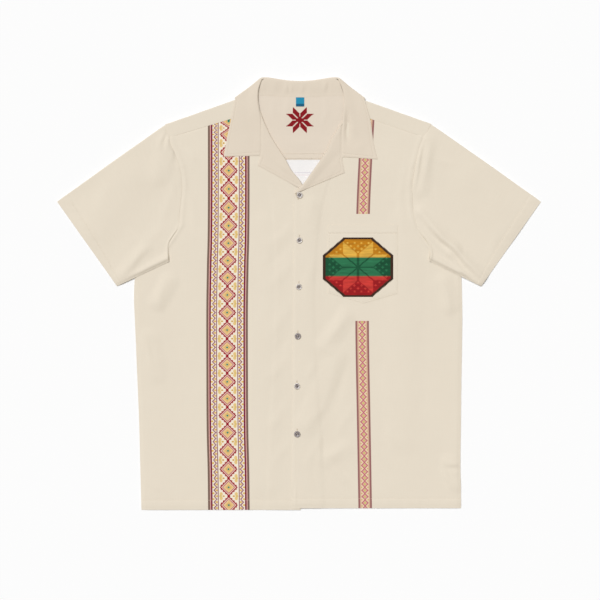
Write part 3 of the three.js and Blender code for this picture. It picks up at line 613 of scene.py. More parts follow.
def inner_yoke_grid():
    """Columns run up from the lower edge to the shoulder folds and the neck seam."""
    tops, feet = [], []
    for side in SIDE:
        _, fold = shoulder(side)
        t = np.linspace(0.04, 1, 30)
        x, y = fold(t, 5.0)
        seam_x = mix(outline(side, YOKE_SEAM_Y), SIDE[side]["sign"] * 70, t)
        inwards = slice(None, None, 1 if side == "right" else -1)
        tops.append(np.stack([x, y], 1)[inwards])
        feet.append(np.stack([seam_x, 0 * t + YOKE_SEAM_Y], 1)[inwards])
    at = neck_stations(46)
    tops.insert(1, np.stack([at, line(NECK_SEAM, at)], 1))
    feet.insert(1, np.stack([at, 0 * at + YOKE_SEAM_Y], 1))
    top, foot = np.concatenate(tops)[:, None], np.concatenate(feet)[:, None]
    up = spaced(110, 1.3, 3, 18, 4)[None, :, None]
    x, y = np.moveaxis(mix(foot, top, up), -1, 0)
    depth = y - YOKE_SEAM_Y
    grooves = sum(bell((depth - row) / 1.2) for row in YOKE_STITCHES)
    z = inner_yoke_height(x, y) + 0.25 * fade(11, 13, depth) - 0.2 * grooves
    z = z - 0.95 * fade(0, 22, depth)
    z = z + 0.12 * uneven(x, y * 0, 6, 8) * bell((depth - 7) / 8)
    return np.dstack([x, y, z])


cloth_piece("inner_yoke_cloth", [facing(inner_yoke_grid())], "yoke_facing")

# %% [markdown]
# ## Fronts
# The left front laps over the right one. Each runs from the side seam to the front edge, and from
# the hem to the forward seam of the yoke. The side edge is rounded down to the back that it is
# sewn to. Each point also keeps its place on the printed band, so that the print follows the
# cloth.

# %% Make the fronts
TUCK = 1.4
BAND_WIDE = [(-378, -122.6), (-306, -123.4), (-242, -124.9), (-120, -125.6), (-20, -125.6),
             (28, -124.9), (57, -124.4), (88, -123.5), (150, -122.9), (300, -122.9)]
LOZENGES = [300, 278.5, 247.1, 214.9, 182.7, 150, 118.5, 87.9, 57.6, 27.7, -2.6, -33.3, -63.9,
            -94.3, -124.3, -154.5, -183.8, -213.5, -243.1, -275.1, -307.3, -339, -370, -402]
BAND_NARROW = [(-376, 115.8), (-218, 113.1), (-100, 110.9), (-48, 110.4), (140, 112.1),
               (234, 116.1), (330, 121.5)]


def front_grid(side):
    """Columns run in from the side edge to the front edge, rows up from the hem."""
    cut = SIDE[side]
    hem = cut["body"][0][0]
    top = cut["armhole"][14][0] + TUCK
    up = spaced(top - hem, 1.4, 3.4, 24, 5)[:, None]
    y_side = mix(hem, top, up)
    x_side = outline(side, y_side)
    x_front, y_front = front_edge(side, centre_height(side, y_side))
    across = spaced(285, 1.4, 3.0, 12, 10)[None, :]
    x, y = mix(x_side, x_front, across), mix(y_side, y_front, across)
    z = front_height(side, x, y) + hem_relief(y - hem, x, 20)
    below, reach = fade(20, 44, y), np.abs(x - x_side)
    z = z - below * fade(0, 8, reach) * fade(0.3, 0.8, across)
    ridge = bell((reach - 5) / 4.5) - 0.1 * bell(reach / 2)
    ridge = ridge + 0.22 * uneven(y, 0 * y, 9, 14) * soft(0, 3, reach) * fade(6, 14, reach)
    z = z + ridge * (1 - below)
    lap = fade(12, 54, x) if side == "left" else 0
    z = z - (0.65 + 0.6 * lap) * fade(0, 9, y - hem)
    if side == "left":
        z = z - 0.6 * fade(0, 4, x - x_front) * fade(150, 176, y)
    return np.dstack([x, y, z - 0.85 * fade(0.5, 3.6, top - y_side)])


for side, track in (("right", BAND_WIDE), ("left", BAND_NARROW)):
    points = facing(front_grid(side))
    x, y = points[..., 0], points[..., 1]
    repeat = np.interp(y, LOZENGES[::-1], np.arange(len(LOZENGES))) + 0.5
    on_band = np.dstack([x - line(track, y), repeat if side == "right" else y, 0 * x])
    front = cloth_piece(f"front_{side}_cloth", [points], f"front_{side}")
    keep_places(front, "sash", on_band)

# %% [markdown]
# ## Sleeves
# A short sleeve is a tube that was pressed flat: a lower layer on the table, a fold along the
# top, and an upper layer. Its cap follows the armhole, and its lower corner hangs over the front.
# Along the underarm seam the lower layer rises to meet the upper one.

# %% Make the sleeves
SLEEVE_LONG, SLEEVE_WIDE = 190, 240
SLEEVE_SHARES = spaced(SLEEVE_LONG, 1.5, 3.4, 9, 24)


def sleeve_grid(side):
    """Sections from the cap to the cuff. Each goes up the lower layer, half round the fold, and
    down the upper layer to the underarm seam."""
    cut = SIDE[side]
    sign = cut["sign"]
    normal, fold = shoulder(side)
    (cx, cy), (fx, fy) = CUFF_TOP, CUFF_FOOT
    tip = np.array(fold(0, YOKE_TURN))
    run = np.array([cx - cut["tip"][0], cut["tip"][1] - cy])
    top = np.array([sign * run[1], run[0]]) / np.hypot(*run)
    cuff = np.array([sign * cx, cy]) - top * 1.25
    w, s = SLEEVE_SHARES[:, None], spaced(SLEEVE_WIDE, 1.4, 3.6, 9, 4)[None, :]
    (armpit_y, armpit_x), (over_y, over_x) = cut["armhole"][0], cut["overhang"][0]
    under_y = mix(fy, over_y, (fx - armpit_x) / (fx - over_x))
    upper_cap = cut["overhang"] + cut["armhole"][3:] + [(tip[1], sign * tip[0])]
    lower_cap = [(under_y, armpit_x - 0.3)] + cut["armhole"] + upper_cap[-1:]

    def layer(cap, tuck, along_back_to=0):
        """One layer from its cap, which follows the back's outline up to a height, to the cuff."""
        y_cap = mix(cap[0][0], cap[-1][0], s)
        x_cap = np.where(y_cap < along_back_to, np.abs(outline(side, y_cap)), line(cap, y_cap))
        x_cap = (x_cap - tuck * (soft(84, 98, y_cap) + soft(262, 285, y_cap))) * sign
        return mix(x_cap, mix(sign * fx, cuff[0], s), w), mix(y_cap, mix(fy, cuff[1], s), w)

    low_x, low_y = layer(lower_cap, 0.5, along_back_to=262.5)
    high_x, high_y = layer(upper_cap, TUCK)
    rise = sleeve_height(side, high_x, high_y)
    under, from_cap, from_cuff = s * SLEEVE_WIDE + 0 * w, w * SLEEVE_LONG, (1 - w) * SLEEVE_LONG
    inside = soft(-20, 12, np.abs(outline(side, np.minimum(high_y, 272))) - np.abs(high_x))
    lies_on = front_height(side, high_x, high_y) + 0.85
    rise = rise - 0.9 * (1 - inside) * fade(0, 7, under)
    rise = rise + 2.8 * inside * bell((under - 8) / 6)
    rise = mix(rise, lies_on, inside * np.clip(1 - under / 4.8, 0, 1))
    rise = rise - 0.6 * fade(0, 16, from_cuff) - 0.4 * fade(0, 7, from_cuff)
    rise = rise + 0.27 * fade(0, 30, under) * np.sin(np.pi * w)
    over = fade(110, 132, high_y)
    rise = rise + over * inside * 1.2 * bell((from_cap - 5) / 4)
    rise = mix(rise, lies_on, over * inside * fade(0, 3, from_cap))
    sunk = 0.85 * fade(0.4, 3.4, from_cap) + 0.4 * fade(0, 18, from_cap)
    gathers = uneven(high_y, 0 * high_y, 8, 15) * soft(150, 240, high_y)
    rise = rise - (1 - over) * sunk + 0.45 * gathers * bell(from_cap / 12)
    rise = rise + hem_relief(from_cuff, high_y, 30)
    seam_z = np.maximum(np.interp(sign * low_x, sign * high_x[:, 0], rise[:, 0]) - 0.1, TABLE)
    flat = mix(TABLE, seam_z, fade(0, 5, under) * soft(-1, 5, sign * low_x - armpit_x))
    flat = flat + 0.3 * fade(0, 3, from_cap)
    cos, sin = half_turn(12)
    fold_x, fold_y, fold_z = low_x[:, -1:], low_y[:, -1:], rise[:, -1:]
    out = mix(normal, top, soft(0, 0.15, w))
    reach = (fold_z - TABLE) / 2
    turn = np.dstack([fold_x + out[:, :1] * reach * cos, fold_y + out[:, 1:] * reach * cos,
                      (fold_z + TABLE) / 2 + reach * sin])
    lower, upper = np.dstack([low_x, low_y, flat]), np.dstack([high_x, high_y, rise])[:, ::-1]
    return np.concatenate([lower, turn, upper], axis=1)


for side in SIDE:
    points = facing(sleeve_grid(side), columns=slice(-40, None))
    cloth_piece(f"sleeve_{side}_cloth", [points], f"sleeve_{side}",
                grain=along_cloth)

# %% [markdown]
# ## Lapels
# A lapel is the front's own edge, turned back over the roll line, so that the facing shows. It
# turns round a small radius and then lies flat on the front.

# %% Make the lapels
LOW_EDGE = {"right": 4.4, "left": 0.0}
ROLL_RADIUS = 1.35


def gorge_lift(y):
    """What the lapel and the collar share above the notch, where both rise to the roll."""
    return 0.9 * soft(245, 290, y)


def lapel_grid(side):
    """Rows up the roll line. Each starts at the front's edge, turns over, and runs to the edge."""
    cut = SIDE[side]
    row = np.linspace(7, cut["lapel_end"], 76)[:, None]
    y_side, _ = line(cut["rows"], row)
    y = centre_height(side, y_side)
    x, in_x, in_y = roll_at(side, y)
    back = ROLL_RADIUS + 0.5
    low = LOW_EDGE[side] * fade(7, 8, row)
    start_x, start_y = x + in_x * back + 0.35 * low, y + in_y * back - low
    end_x, end_y = line(cut["lapel"], row)
    gorge = soft(8.85, 9.1, row)
    end_x = (end_x + 2.2 * gorge) * cut["sign"]
    level = front_height(side, start_x, start_y)
    cos, sin = half_turn(12)
    turn = [start_x - in_x * ROLL_RADIUS * cos, start_y - in_y * ROLL_RADIUS * cos,
            level + ROLL_RADIUS * (1 + sin)]
    share = spaced(70, 0.6, 1.8, 5, 8)[None, :]
    flat_x, flat_y = mix(start_x, end_x, share), mix(start_y, end_y, share)
    reach = np.hypot(flat_x - start_x, flat_y - start_y)
    lift = 1.8 * fade(0, 28, reach) - 0.3 * fade(0, 3.2, reach)
    length = np.hypot(end_x - start_x, end_y - start_y)
    edge = np.minimum(length - reach + 4 * gorge, (flat_y - mix(start_y[0], end_y[0], share)) + 0.4)
    z = front_height(side, flat_x, flat_y) + 1.15 + lift
    z = z - 0.45 * fade(0, 2.5, edge) - 0.3 * bell((edge - 5) / 1.1)
    sewn = front_height(side, flat_x, flat_y) + 0.75 + gorge_lift(flat_y)
    z = mix(z, sewn, gorge * fade(1.5, 7, length - reach))
    z[:, 0] = level[:, 0] + 2 * ROLL_RADIUS
    first = np.dstack([start_x, start_y, level])
    grid = np.concatenate([first, surface(*turn), np.dstack([flat_x, flat_y, z])], axis=1)
    grid[..., 2] -= 1.4 * soft(cut["lapel_end"] - 0.9, cut["lapel_end"], row)
    return grid


for side in SIDE:
    points = facing(lapel_grid(side), columns=slice(-20, None))
    cloth_piece(f"lapel_{side}_cloth", [points], f"lapel_{side}", grain=along_cloth)

# %% [markdown]
# ## Collar
# The collar is one piece with two points. At the back it stands up from the neck seam, rolls over
# and lies under the yoke. It turns round the shoulders, and its front ends lie on the fronts
# beside the lapels. Its stations run from one point round the back of the neck to the other.

# %% Make the collar
COLLAR_BACK = [(61, 378.4, 72.5, 347.2, 110, 338.9), (52, 377.6, 58, 347.2, 92, 332.5),
               (36, 375.0, 38, 345.6, 58, 328.6), (18, 372.6, 19, 344.6, 28, 326.6),
               (0, 371.8, 0, 344.2, 0, 326)]
COLLAR_FRONT = {
    "right": [(0, 64.6, 374, 111.6, 340.2, 1), (1, 70.4, 357, 114.8, 326, 1),
              (2, 71.4, 338, 118.3, 306, 1), (3, 69, 322, 122.4, 288, 1),
              (4, 66.0, 305, 125.4, 274, 0.6), (5, 66.6, 285, 127.6, 262, 0),
              (6, 66.7, 262, 129.8, 250, 0), (7, 67.4, 241, 131.6, 239.4, 0)],
    "left": [(0, 68.6, 374, 114.6, 339.4, 1), (1, 75.6, 357, 118.6, 326, 1),
             (2, 78.8, 340, 122.6, 312, 1), (3, 77.9, 322, 125.6, 298, 1),
             (4, 76.4, 302, 128.0, 280, 0.6), (5, 75.6, 282, 130.6, 262, 0),
             (6, 75.4, 260, 134.0, 248, 0), (7, 75.2, 238.6, 137.4, 234.6, 0)],
}
FALL = spaced(62, 0.8, 2.2, 4, 9)[None, :]


def collar_fall(side, station, share):
    """A point of the fall on the front: a share of the way from the roll line to the outer edge.
    It stands proud near the roll and comes down to the front, and its edge is turned and sewn."""
    sign = SIDE[side]["sign"]
    x, y, outer_x, outer_y, lift = line(COLLAR_FRONT[side], station)
    lift = np.clip(lift, 0, 1)
    length = np.hypot(outer_x - x, outer_y - y)
    reach = share * length
    px, py = sign * mix(x, outer_x, share), mix(y, outer_y, share)
    z = front_height(side, px, py) + 1.2 + 0.3 * lift
    z = z + 2.0 * lift * fade(0, 28, reach) - 1.4 * lift * fade(0, 2.4, reach)
    z = z + (0.15 + gorge_lift(py)) * (1 - lift) * fade(0, 16, reach) + folded("collar", px, py)
    z = z - 0.45 * (1 - lift) * fade(0, 2.2, reach)
    edge = np.minimum(length - reach, (7 - station) * 20)
    z = z - 0.5 * fade(0, 2.5, edge) - 0.3 * bell((edge - 6) / 1.1)
    return px, py, z


def collar_back_table():
    """The back stations as one table from the right end to the left end, with signed x."""
    right = [(-a, b, -c, d, -e, f) for a, b, c, d, e, f in COLLAR_BACK]
    rows = right + COLLAR_BACK[-2::-1]
    return [(k, *row) for k, row in enumerate(rows)]


def collar_grids():
    """The fall as one grid from point to point, and the stand with its roll as a second grid that
    shares the fall's inner edge behind the neck."""
    where = np.linspace(0, 8, 90)[:, None]
    roll_x, roll_y, seam_x, seam_y, outer_x, outer_y = line(collar_back_table(), where)
    roll_x, seam_x, outer_x = (NECK_X + v for v in (roll_x, seam_x, outer_x))
    seam_y = seam_y - 0.9
    length = np.hypot(roll_x - seam_x, roll_y - seam_y)
    up_x, up_y = (roll_x - seam_x) / length, (roll_y - seam_y) / length
    radius = 2.75
    mid_x, mid_y = roll_x - up_x * (radius + 0.5), roll_y - up_y * (radius + 0.5)
    top = TABLE + 2 * radius
    fall = surface(mix(mid_x, outer_x, FALL), mix(mid_y, outer_y, FALL), TABLE)
    t = np.linspace(0, 1, 16)[None, :]
    stand_x, stand_y = mix(seam_x, mid_x, t), mix(seam_y, mid_y, t)
    level = inner_yoke_height(stand_x, stand_y)
    ripple = 0.5 * uneven(stand_x, 0 * stand_y, 11, 41) + folded("stand", stand_x, stand_y)
    stand_z = mix(top, level + 0.3, soft(0, 1, 1 - t)) + ripple * np.sin(np.pi * t)
    cos, sin = half_turn(14)
    turn = [mid_x + up_x * radius * cos, mid_y + up_y * radius * cos,
            (top + TABLE) / 2 - radius * sin]
    stand = surface(stand_x, stand_y, stand_z)
    stand = np.concatenate([stand, surface(*turn), fall[:, :1]], axis=1)
    parts, arcs = [], []
    for side, near in (("right", fall[0]), ("left", fall[-1])):
        station = np.concatenate([np.linspace(0, 6.6, 46), np.linspace(6.62, 7, 12)])[:, None]
        high = np.dstack(collar_fall(side, station, FALL + 0 * station))
        far = high[0]
        along = near[-1] - near[0]
        out = np.array([-np.sign(along[0]) * along[1], abs(along[0])]) / np.hypot(*along[:2])
        cos, sin = (v[:, None] for v in half_turn(14))
        share = (1 + sin) / 2
        bow = (far[:, 2] - near[:, 2]) / 2 * cos
        turned = np.dstack([mix(near[:, 0], far[:, 0], share) + out[0] * bow,
                            mix(near[:, 1], far[:, 1], share) + out[1] * bow,
                            mix(near[:, 2], far[:, 2], share)])
        parts.append(np.concatenate([turned, high]))
        arcs.append(np.concatenate([near[:1], turned[:, 0], far[:1]])[::-1])
    whole = np.concatenate([parts[0][::-1], fall, parts[1]])
    corners = []
    for side, end, arc in (("right", stand[0], arcs[0]), ("left", stand[-1], arcs[1])):
        corners.append(mix(end[None, 15:], arc[None], np.linspace(0, 1, 4)[:, None, None]))
        end = end[:16]
        low, high = line(COLLAR_FRONT[side], 1.6), line(COLLAR_FRONT[side], 0.1)
        far_x = mix(low[0] + 1.8, high[0] + 0.6, t[0]) * SIDE[side]["sign"]
        far_y = mix(low[1] - 4, high[1] - 0.5, t[0])
        far = np.stack([far_x, far_y, end[:, 2] - 0.3 * t[0]], 1)
        corners.append(mix(end[None], far[None], np.linspace(0, 1, 6)[:, None, None]))
    return whole, stand, corners


fall, stand, corners = collar_grids()
patches = [facing(fall, rows=slice(0, 30)), facing(stand, columns=slice(0, 12))]
patches += [facing(corner, columns=slice(0, 4)) for corner in corners]
cloth_piece("collar_cloth", patches, "collar", grain=along_cloth)

# %% [markdown]
# ## Pocket and label
# The patch pocket lies on the left front. Its sides and its shallow point are turned under and
# sewn close to the edge, and its top has a wide hem. The label is a small folded tape that is
# caught in the neck seam.

# %% Make the pocket and the label
POCKET = dict(left=50.8, right=172.4, top=119.5, side=0.5, point=-17, middle=113, hem=14)
POCKET_LIFT, POCKET_SEAM = 0.95, 2.4


def pocket_foot(x):
    """The pocket's lower edge: a shallow point that is lowest at its middle."""
    half = (POCKET["right"] - POCKET["left"]) / 2
    return mix(POCKET["point"], POCKET["side"], np.minimum(1, np.abs(x - POCKET["middle"]) / half))


def pocket_grid():
    """Columns run up from the point to the hem."""
    x = mix(POCKET["left"], POCKET["right"], spaced(121.6, 1.0, 2.6, 6, 6))[:, None]
    foot = pocket_foot(x)
    y = mix(foot, POCKET["top"], spaced(130, 1.0, 2.6, 6, 20)[None, :])
    x = x + 0 * y
    edge = np.minimum(np.minimum(x - POCKET["left"], POCKET["right"] - x), y - foot)
    top = POCKET["top"] - y
    z = front_height("left", x, y) + POCKET_LIFT
    z = z + 0.25 * soft(0, 12, edge) * soft(0, 20, top) * (1 + uneven(x, y, 30, 51))
    z = z - 0.3 * fade(0, 2, edge) - 0.3 * bell(edge - POCKET_SEAM) * soft(0, 3, top)
    z = z + 0.3 * fade(13, 15, top) - 0.4 * bell((top - POCKET["hem"]) / 1.2)
    return np.dstack([x, y, z])


def label_grid():
    """A small rectangle above the inner yoke that bows up between its sides by a half wave."""
    x, y = np.meshgrid(np.linspace(-5.3, 9.1, 15), np.linspace(327, 342.6, 17), indexing="ij")
    bow = np.sin(np.pi * (x - x[0]) / (x[-1] - x[0]))
    return np.dstack([x, y, inner_yoke_height(x, y) + 0.9 + 0.25 * bow])


cloth_piece("pocket_cloth_patch", [facing(pocket_grid())], "pocket")
cloth_piece("neck_label_tape", [facing(label_grid())], "neck_label", shell=0.5)

# %% [markdown]
# ## Buttons
# A shirt button is turned from a small disc: a raised rim, a shallow dish and four holes, sewn on
# with thread. Here a profile is carried round the middle on rings that lie close enough together
# for the holes to be pressed into the dish.

# %% Make the buttons
BUTTONS = [(1.4, 171.8), (0.7, 93), (-0.2, 11.7), (-2.1, -74.7), (-3.5, -162), (-3.2, -245.9)]
HOLE_OUT = 1.25
PROFILE = [(0, 0), (2.5, 0), (4.7, 0.05), (5.3, 0.3), (5.58, 0.8), (5.6, 1.3), (5.45, 1.8),
           (5.1, 2.2), (4.6, 2.38), (4.1, 2.34), (3.75, 2.1), (3.5, 1.85), (3.2, 1.74)]


def button_points(x, y, seat, turned):
    """Rings round the middle. In the dish the height falls steeply near each of the four holes."""
    dish = [(r, 1.7) for r in np.arange(3.06, 0, -0.14)] + [(0, 1.7)]
    radius, height = np.array(PROFILE + dish).T[:, :, None]
    angle = np.linspace(0, 2 * np.pi, 57)[None, :]
    px, py = radius * np.cos(angle), radius * np.sin(angle)
    hole = np.hypot(np.abs(px) - HOLE_OUT, np.abs(py) - HOLE_OUT)
    pz = height - 1.2 * fade(0.38, 0.72, hole) * (height > 1.6) * (radius < 3.1)
    return np.dstack([*turned_about(x, y, turned, px, py), seat + pz])


def strand(start, end, rise=0.85, radius=0.2, rings=9, sides=8):
    """A short thread from one point to another: a tube that bows up by rise, and whose radius
    falls off steeply at both ends."""
    start, end = np.asarray(start, float), np.asarray(end, float)
    t = (1 - np.cos(np.pi * np.linspace(0, 1, rings))) / 2
    angle = np.linspace(0, 2 * np.pi, sides, endpoint=False)
    along = end - start
    flat = np.array([-along[1], along[0], 0]) / np.hypot(along[0], along[1])
    centre = start + t[:, None] * along + np.outer(np.sin(np.pi * t) * rise, [0, 0, 1])
    width = radius * np.sqrt(np.clip(1 - (2 * t - 1) ** 6, 0.02, 1))
    ring = flat[None] * np.cos(angle)[:, None] + np.array([[0, 0, 1]]) * np.sin(angle)[:, None]
    return centre[:, None] + width[:, None, None] * ring[None]


def tubes_piece(name, tubes):
    """One object from many small tubes, an array (tube, ring, side, 3). Each tube has quads that
    close round its section, and a face at each end."""
    count, rings, sides, _ = tubes.shape
    k = np.arange(rings * sides).reshape(rings, sides)
    around = np.roll(k, -1, axis=1)
    quads = np.stack([c.ravel() for c in (around[:-1], around[1:], k[1:], k[:-1])], axis=1)
    shift = (np.arange(count) * rings * sides)[:, None, None]
    faces = [(part + shift).reshape(-1, part.shape[1]).tolist()
             for part in (quads, np.stack([k[0], k[-1, ::-1]]))]
    return mesh_piece(name, tubes, faces[0] + faces[1])


def turned_about(x, y, angle, a, b):
    """A point that lies at (a, b) from a middle (x, y), after a turn by an angle."""
    return x + a * np.cos(angle) - b * np.sin(angle), y + a * np.sin(angle) + b * np.cos(angle)


for number, (x, y) in enumerate(BUTTONS, 1):
    seat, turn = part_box(f"button_{number}")[0].z / MM, 0.3 * np.sin(number * 2.3)
    rings = button_points(x, y, seat, turn)
    button = mesh_piece(f"shirt_button_{number}", rings,
                        grid_faces(*rings.shape[:2])[:, ::-1].tolist())
    merge(button.data, 0.01)
    near = np.zeros((len(button.data.vertices), 3))
    button.data.vertices.foreach_get("co", near.reshape(-1))
    keep_places(button, "grain", near / MM - [x, y, seat])
    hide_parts(f"button_{number}")
    tubes = [strand(*((*turned_about(x, y, turn, out, bar + beside), seat + 1.25)
                      for out in (-HOLE_OUT, HOLE_OUT)))
             for bar in (-HOLE_OUT, HOLE_OUT) for beside in (-0.17, 0.17)]
    tubes_piece(f"button_thread_{number}", np.array(tubes))
    print(f"button {number}: seated at {seat:.2f} mm")

# %% [markdown]
# ## Stitches
# A seam is a row of short thread stitches that lie in a shallow groove. Each stitch is a small
# closed body with thin ends. All the stitches of a seam are one template that is carried to
# every place along the seam's line, turned to the line's direction, as one array.

# %% Sew a row of stitches
def stitch_shape(length, radius):
    """One stitch along x: five rings of six points, thinner at both ends, where it sinks in."""
    t = np.linspace(-1, 1, 5)[:, None]
    angle = np.linspace(0, 2 * np.pi, 6, endpoint=False)[None, :]
    width = radius * np.sqrt(np.clip(1 - t**4, 0.05, 1))
    height = width * np.sin(angle) * 0.8 - 0.12 * t**2
    return surface(t * length / 2, width * np.cos(angle), height)


def sew(name, lines, lift=SHELL / 2 + 0.1, pitch=3.1, length=2.5, radius=0.24, seed=1):
    """Stitches along lines of points on a cloth's middle surface, lifted to its top face. Places
    lie at equal steps along each line; each stitch is turned by a degree or two off its line."""
    spots, ways = [], []
    for path in lines:
        run = np.concatenate([[0], np.cumsum(np.linalg.norm(np.diff(path, axis=0), axis=1))])
        at = np.arange(pitch / 2, run[-1], pitch)
        ends = [np.stack([np.interp(at + s, run, path[:, k]) for k in range(3)], 1)
                for s in (-0.6, 0.6)]
        way = ends[1] - ends[0]
        spots.append((ends[0] + ends[1]) / 2 + np.array([0, 0, lift]))
        ways.append(way / np.linalg.norm(way, axis=1)[:, None])
    spots, ways = np.concatenate(spots), np.concatenate(ways)
    swing = np.random.default_rng(seed).normal(0, 0.035, len(spots))
    turned = np.stack([ways[:, 0] - ways[:, 1] * swing, ways[:, 1] + ways[:, 0] * swing,
                       ways[:, 2]], 1)
    across = np.stack([-turned[:, 1], turned[:, 0], 0 * swing], 1)
    across /= np.linalg.norm(across, axis=1)[:, None]
    above = np.cross(turned, across)
    axes = np.stack([turned, across, above], 1)
    body = spots[:, None, None] + np.einsum("rsk,nkj->nrsj", stitch_shape(length, radius), axes)
    tubes_piece(name, body)
    print(f"{name}: {len(spots)} stitches")


# %% [markdown]
# ## Where the seams run
# Each seam's line is read from the same functions as its cloth, a fixed distance in from an edge.

# %% Sew the hems, the yoke, the collar, the lapels and the pocket
FINE = dict(pitch=2.6, length=2.1)
TOP_SLIT, SLIT_SLANT = (-0.4, 163.8), 0.46
CUFF_ROW = np.abs(SLEEVE_SHARES - (1 - HEM_DEPTH / SLEEVE_LONG)).argmin()


def hem_line(side, depth=HEM_DEPTH):
    """Along a front, a fixed depth up from its lower edge."""
    y = np.full(300, SIDE[side]["body"][0][0] + depth)
    x = np.linspace(outline(side, y[0]), front_edge(side, y[0])[0], 300)
    return np.stack([x, y, front_height(side, x, y) + hem_relief(depth, x, 20)], 1)[3:-2]


def surface_line(x, y, height, drop=0.0):
    """A line of points on a height function, dropped into its groove."""
    return np.stack([x, y, height(x, y) - drop], 1)


sew("stitches_front_hems", [hem_line(side) for side in SIDE])
for side in SIDE:
    sew(f"stitches_cuff_{side}", [sleeve_grid(side)[CUFF_ROW, -66:-2]], seed=2)


def pocket_top(x, y):
    """The pocket's middle surface inside its sewn edge."""
    return front_height("left", x, y) + POCKET_LIFT


pocket_x = np.linspace(POCKET["left"] + POCKET_SEAM, POCKET["right"] - POCKET_SEAM, 120)
pocket_low = pocket_foot(pocket_x) + 2.6
down, up = (np.linspace(*ends, 100) for ends in
            ((POCKET["top"] - 1, pocket_low[0]), (pocket_low[-1], POCKET["top"] - 1)))
pocket_line = np.array([np.concatenate([pocket_x[0] + 0 * down, pocket_x, pocket_x[-1] + 0 * up]),
                        np.concatenate([down, pocket_low, up])])
pocket_hem = 0 * pocket_x + POCKET["top"] - POCKET["hem"]
sew("stitches_pocket", [surface_line(*pocket_line, pocket_top, 0.2),
                        surface_line(pocket_x, pocket_hem, pocket_top, -0.1)], **FINE)
yoke_x = np.linspace(-64, 68, 90)
sew("stitches_inner_yoke",
    [surface_line(yoke_x, 0 * yoke_x + YOKE_SEAM_Y + row, inner_yoke_height, -0.1)
     for row in YOKE_STITCHES])


def collar_seam(side, depth=6, low_station=6.7):
    """A collar end's stitches: along its outer edge, a fixed depth in, and back along its foot."""
    stations = np.linspace(0.4, 6.66, 120)
    x, y, outer_x, outer_y, _ = line(COLLAR_FRONT[side], stations)
    shares = 1 - depth / np.hypot(outer_x - x, outer_y - y)
    outer = np.stack(collar_fall(side, stations, shares), 1)
    foot = collar_fall(side, np.full(60, low_station), np.linspace(1 - 6.5 / 62, 0.03, 60))
    return np.concatenate([outer, np.stack(foot, 1)])


def lapel_seam(side, depth=4.6):
    """A lapel's stitches: along its lower edge and round its corner, a fixed depth in."""
    flat = lapel_grid(side)[:, 12:]
    up = flat[:, :, 1] - flat[0, :, 1]
    low = np.array([[np.interp(depth, up[:, j], flat[:, j, k]) for k in range(3)]
                    for j in range(6, flat.shape[1] - 12)])
    away = np.linalg.norm(flat - flat[:, -1:], axis=2)[:, ::-1]
    rows = np.flatnonzero((up[:, -1] > 2 * depth) & (flat[:, -1, 1] < 243))
    out = np.array([[np.interp(5, away[i], flat[i, ::-1, k]) for k in range(3)] for i in rows])
    return np.concatenate([low, out])


def satin(x, y, length, slant=0.0):
    """The bars of a buttonhole: short stitches across it, in two rows beside the slit."""
    bars = [turned_about(x, y, slant, np.array(ends), step)
            for ends in ((-1.5, -0.25), (0.25, 1.5)) for step in np.arange(0, length, 0.55)]
    return [surface_line(*bar, lambda x, y: front_height("left", x, y)) for bar in bars]


for side in SIDE:
    sew(f"stitches_collar_{side}", [collar_seam(side)], seed=4, **FINE)
for side in SIDE:
    sew(f"stitches_lapel_{side}", [lapel_seam(side)], seed=5, **FINE)
bars = [bar for x, y in BUTTONS[1:] for bar in satin(x, y - 2, 12.5)]
bars += satin(*TOP_SLIT, 13, slant=SLIT_SLANT)
sew("stitches_buttonholes", bars, lift=SHELL / 2 + 0.02, pitch=1.25, length=1.3, radius=0.3, seed=6)
below_cloth = {"lift": 0.02 - SHELL / 2, "seed": 7}
back_y = SIDE["right"]["body"][0][0] + HEM_DEPTH
sew("stitches_back", [surface_line(x, 0 * x + y, back_height) for y, x in
                      ((back_y, np.linspace(-272, 280, 300)),
                       (YOKE_SEAM_Y + 2, np.linspace(-210, 204, 200)))], **below_cloth)
for side in SIDE:
    sew(f"stitches_cuff_under_{side}", [sleeve_grid(side)[CUFF_ROW, 2:64]], **below_cloth)

# %% [markdown]
# ## Reckoning with shader sockets
# A pattern is a formula over the cloth. Blender builds formulas from Math nodes, which are hard
# to read when they are wired one by one. This small class wraps a socket, so that a formula can
# be written as an expression, and each sum or product adds its node.

# %% A socket that can be reckoned with
class Flow:
    """What comes out of a node. Sums, products and masks of flows add the nodes for them."""

    def __init__(self, tree, socket):
        self.tree, self.socket = tree, socket

    def maths(self, operation, *values):
        return self.tree.node("ShaderNodeMath", {"operation": operation}, dict(enumerate(values)))

    def __add__(self, other):
        return self.maths("ADD", self, other)

    def __sub__(self, other):
        return self.maths("SUBTRACT", self, other)

    def __rsub__(self, other):
        return self.maths("SUBTRACT", other, self)

    def __mul__(self, other):
        return self.maths("MULTIPLY", self, other)

    def __truediv__(self, other):
        return self.maths("DIVIDE", self, other)

    def __abs__(self):
        return self.maths("ABSOLUTE", self)

    __radd__, __rmul__ = __add__, __mul__

    def rounded(self):
        return self.maths("ROUND", self)

    def fraction(self):
        return self.maths("FRACT", self)

    def sine(self):
        return self.maths("SINE", self)

    def larger(self, other):
        return self.maths("MAXIMUM", self, other)

    def smaller(self, other):
        return self.maths("MINIMUM", self, other)

    def below(self, limit, blur):
        """A mask: 1 where the value is below the limit, with a soft edge as wide as two blurs."""
        settings = {"interpolation_type": "SMOOTHSTEP"}
        values = {0: self, 1: limit - blur, 2: limit + blur, 3: 1.0, 4: 0.0}
        return self.tree.node("ShaderNodeMapRange", settings, values)

    def near(self, centre, half, blur):
        """A mask: 1 where the value is within half of the centre."""
        return abs(self - centre).below(half, blur)

    def parts(self):
        """A vector's three parts."""
        split = self.tree.node("ShaderNodeSeparateXYZ", {}, {0: self})
        return [Flow(self.tree, part) for part in split.socket.node.outputs]


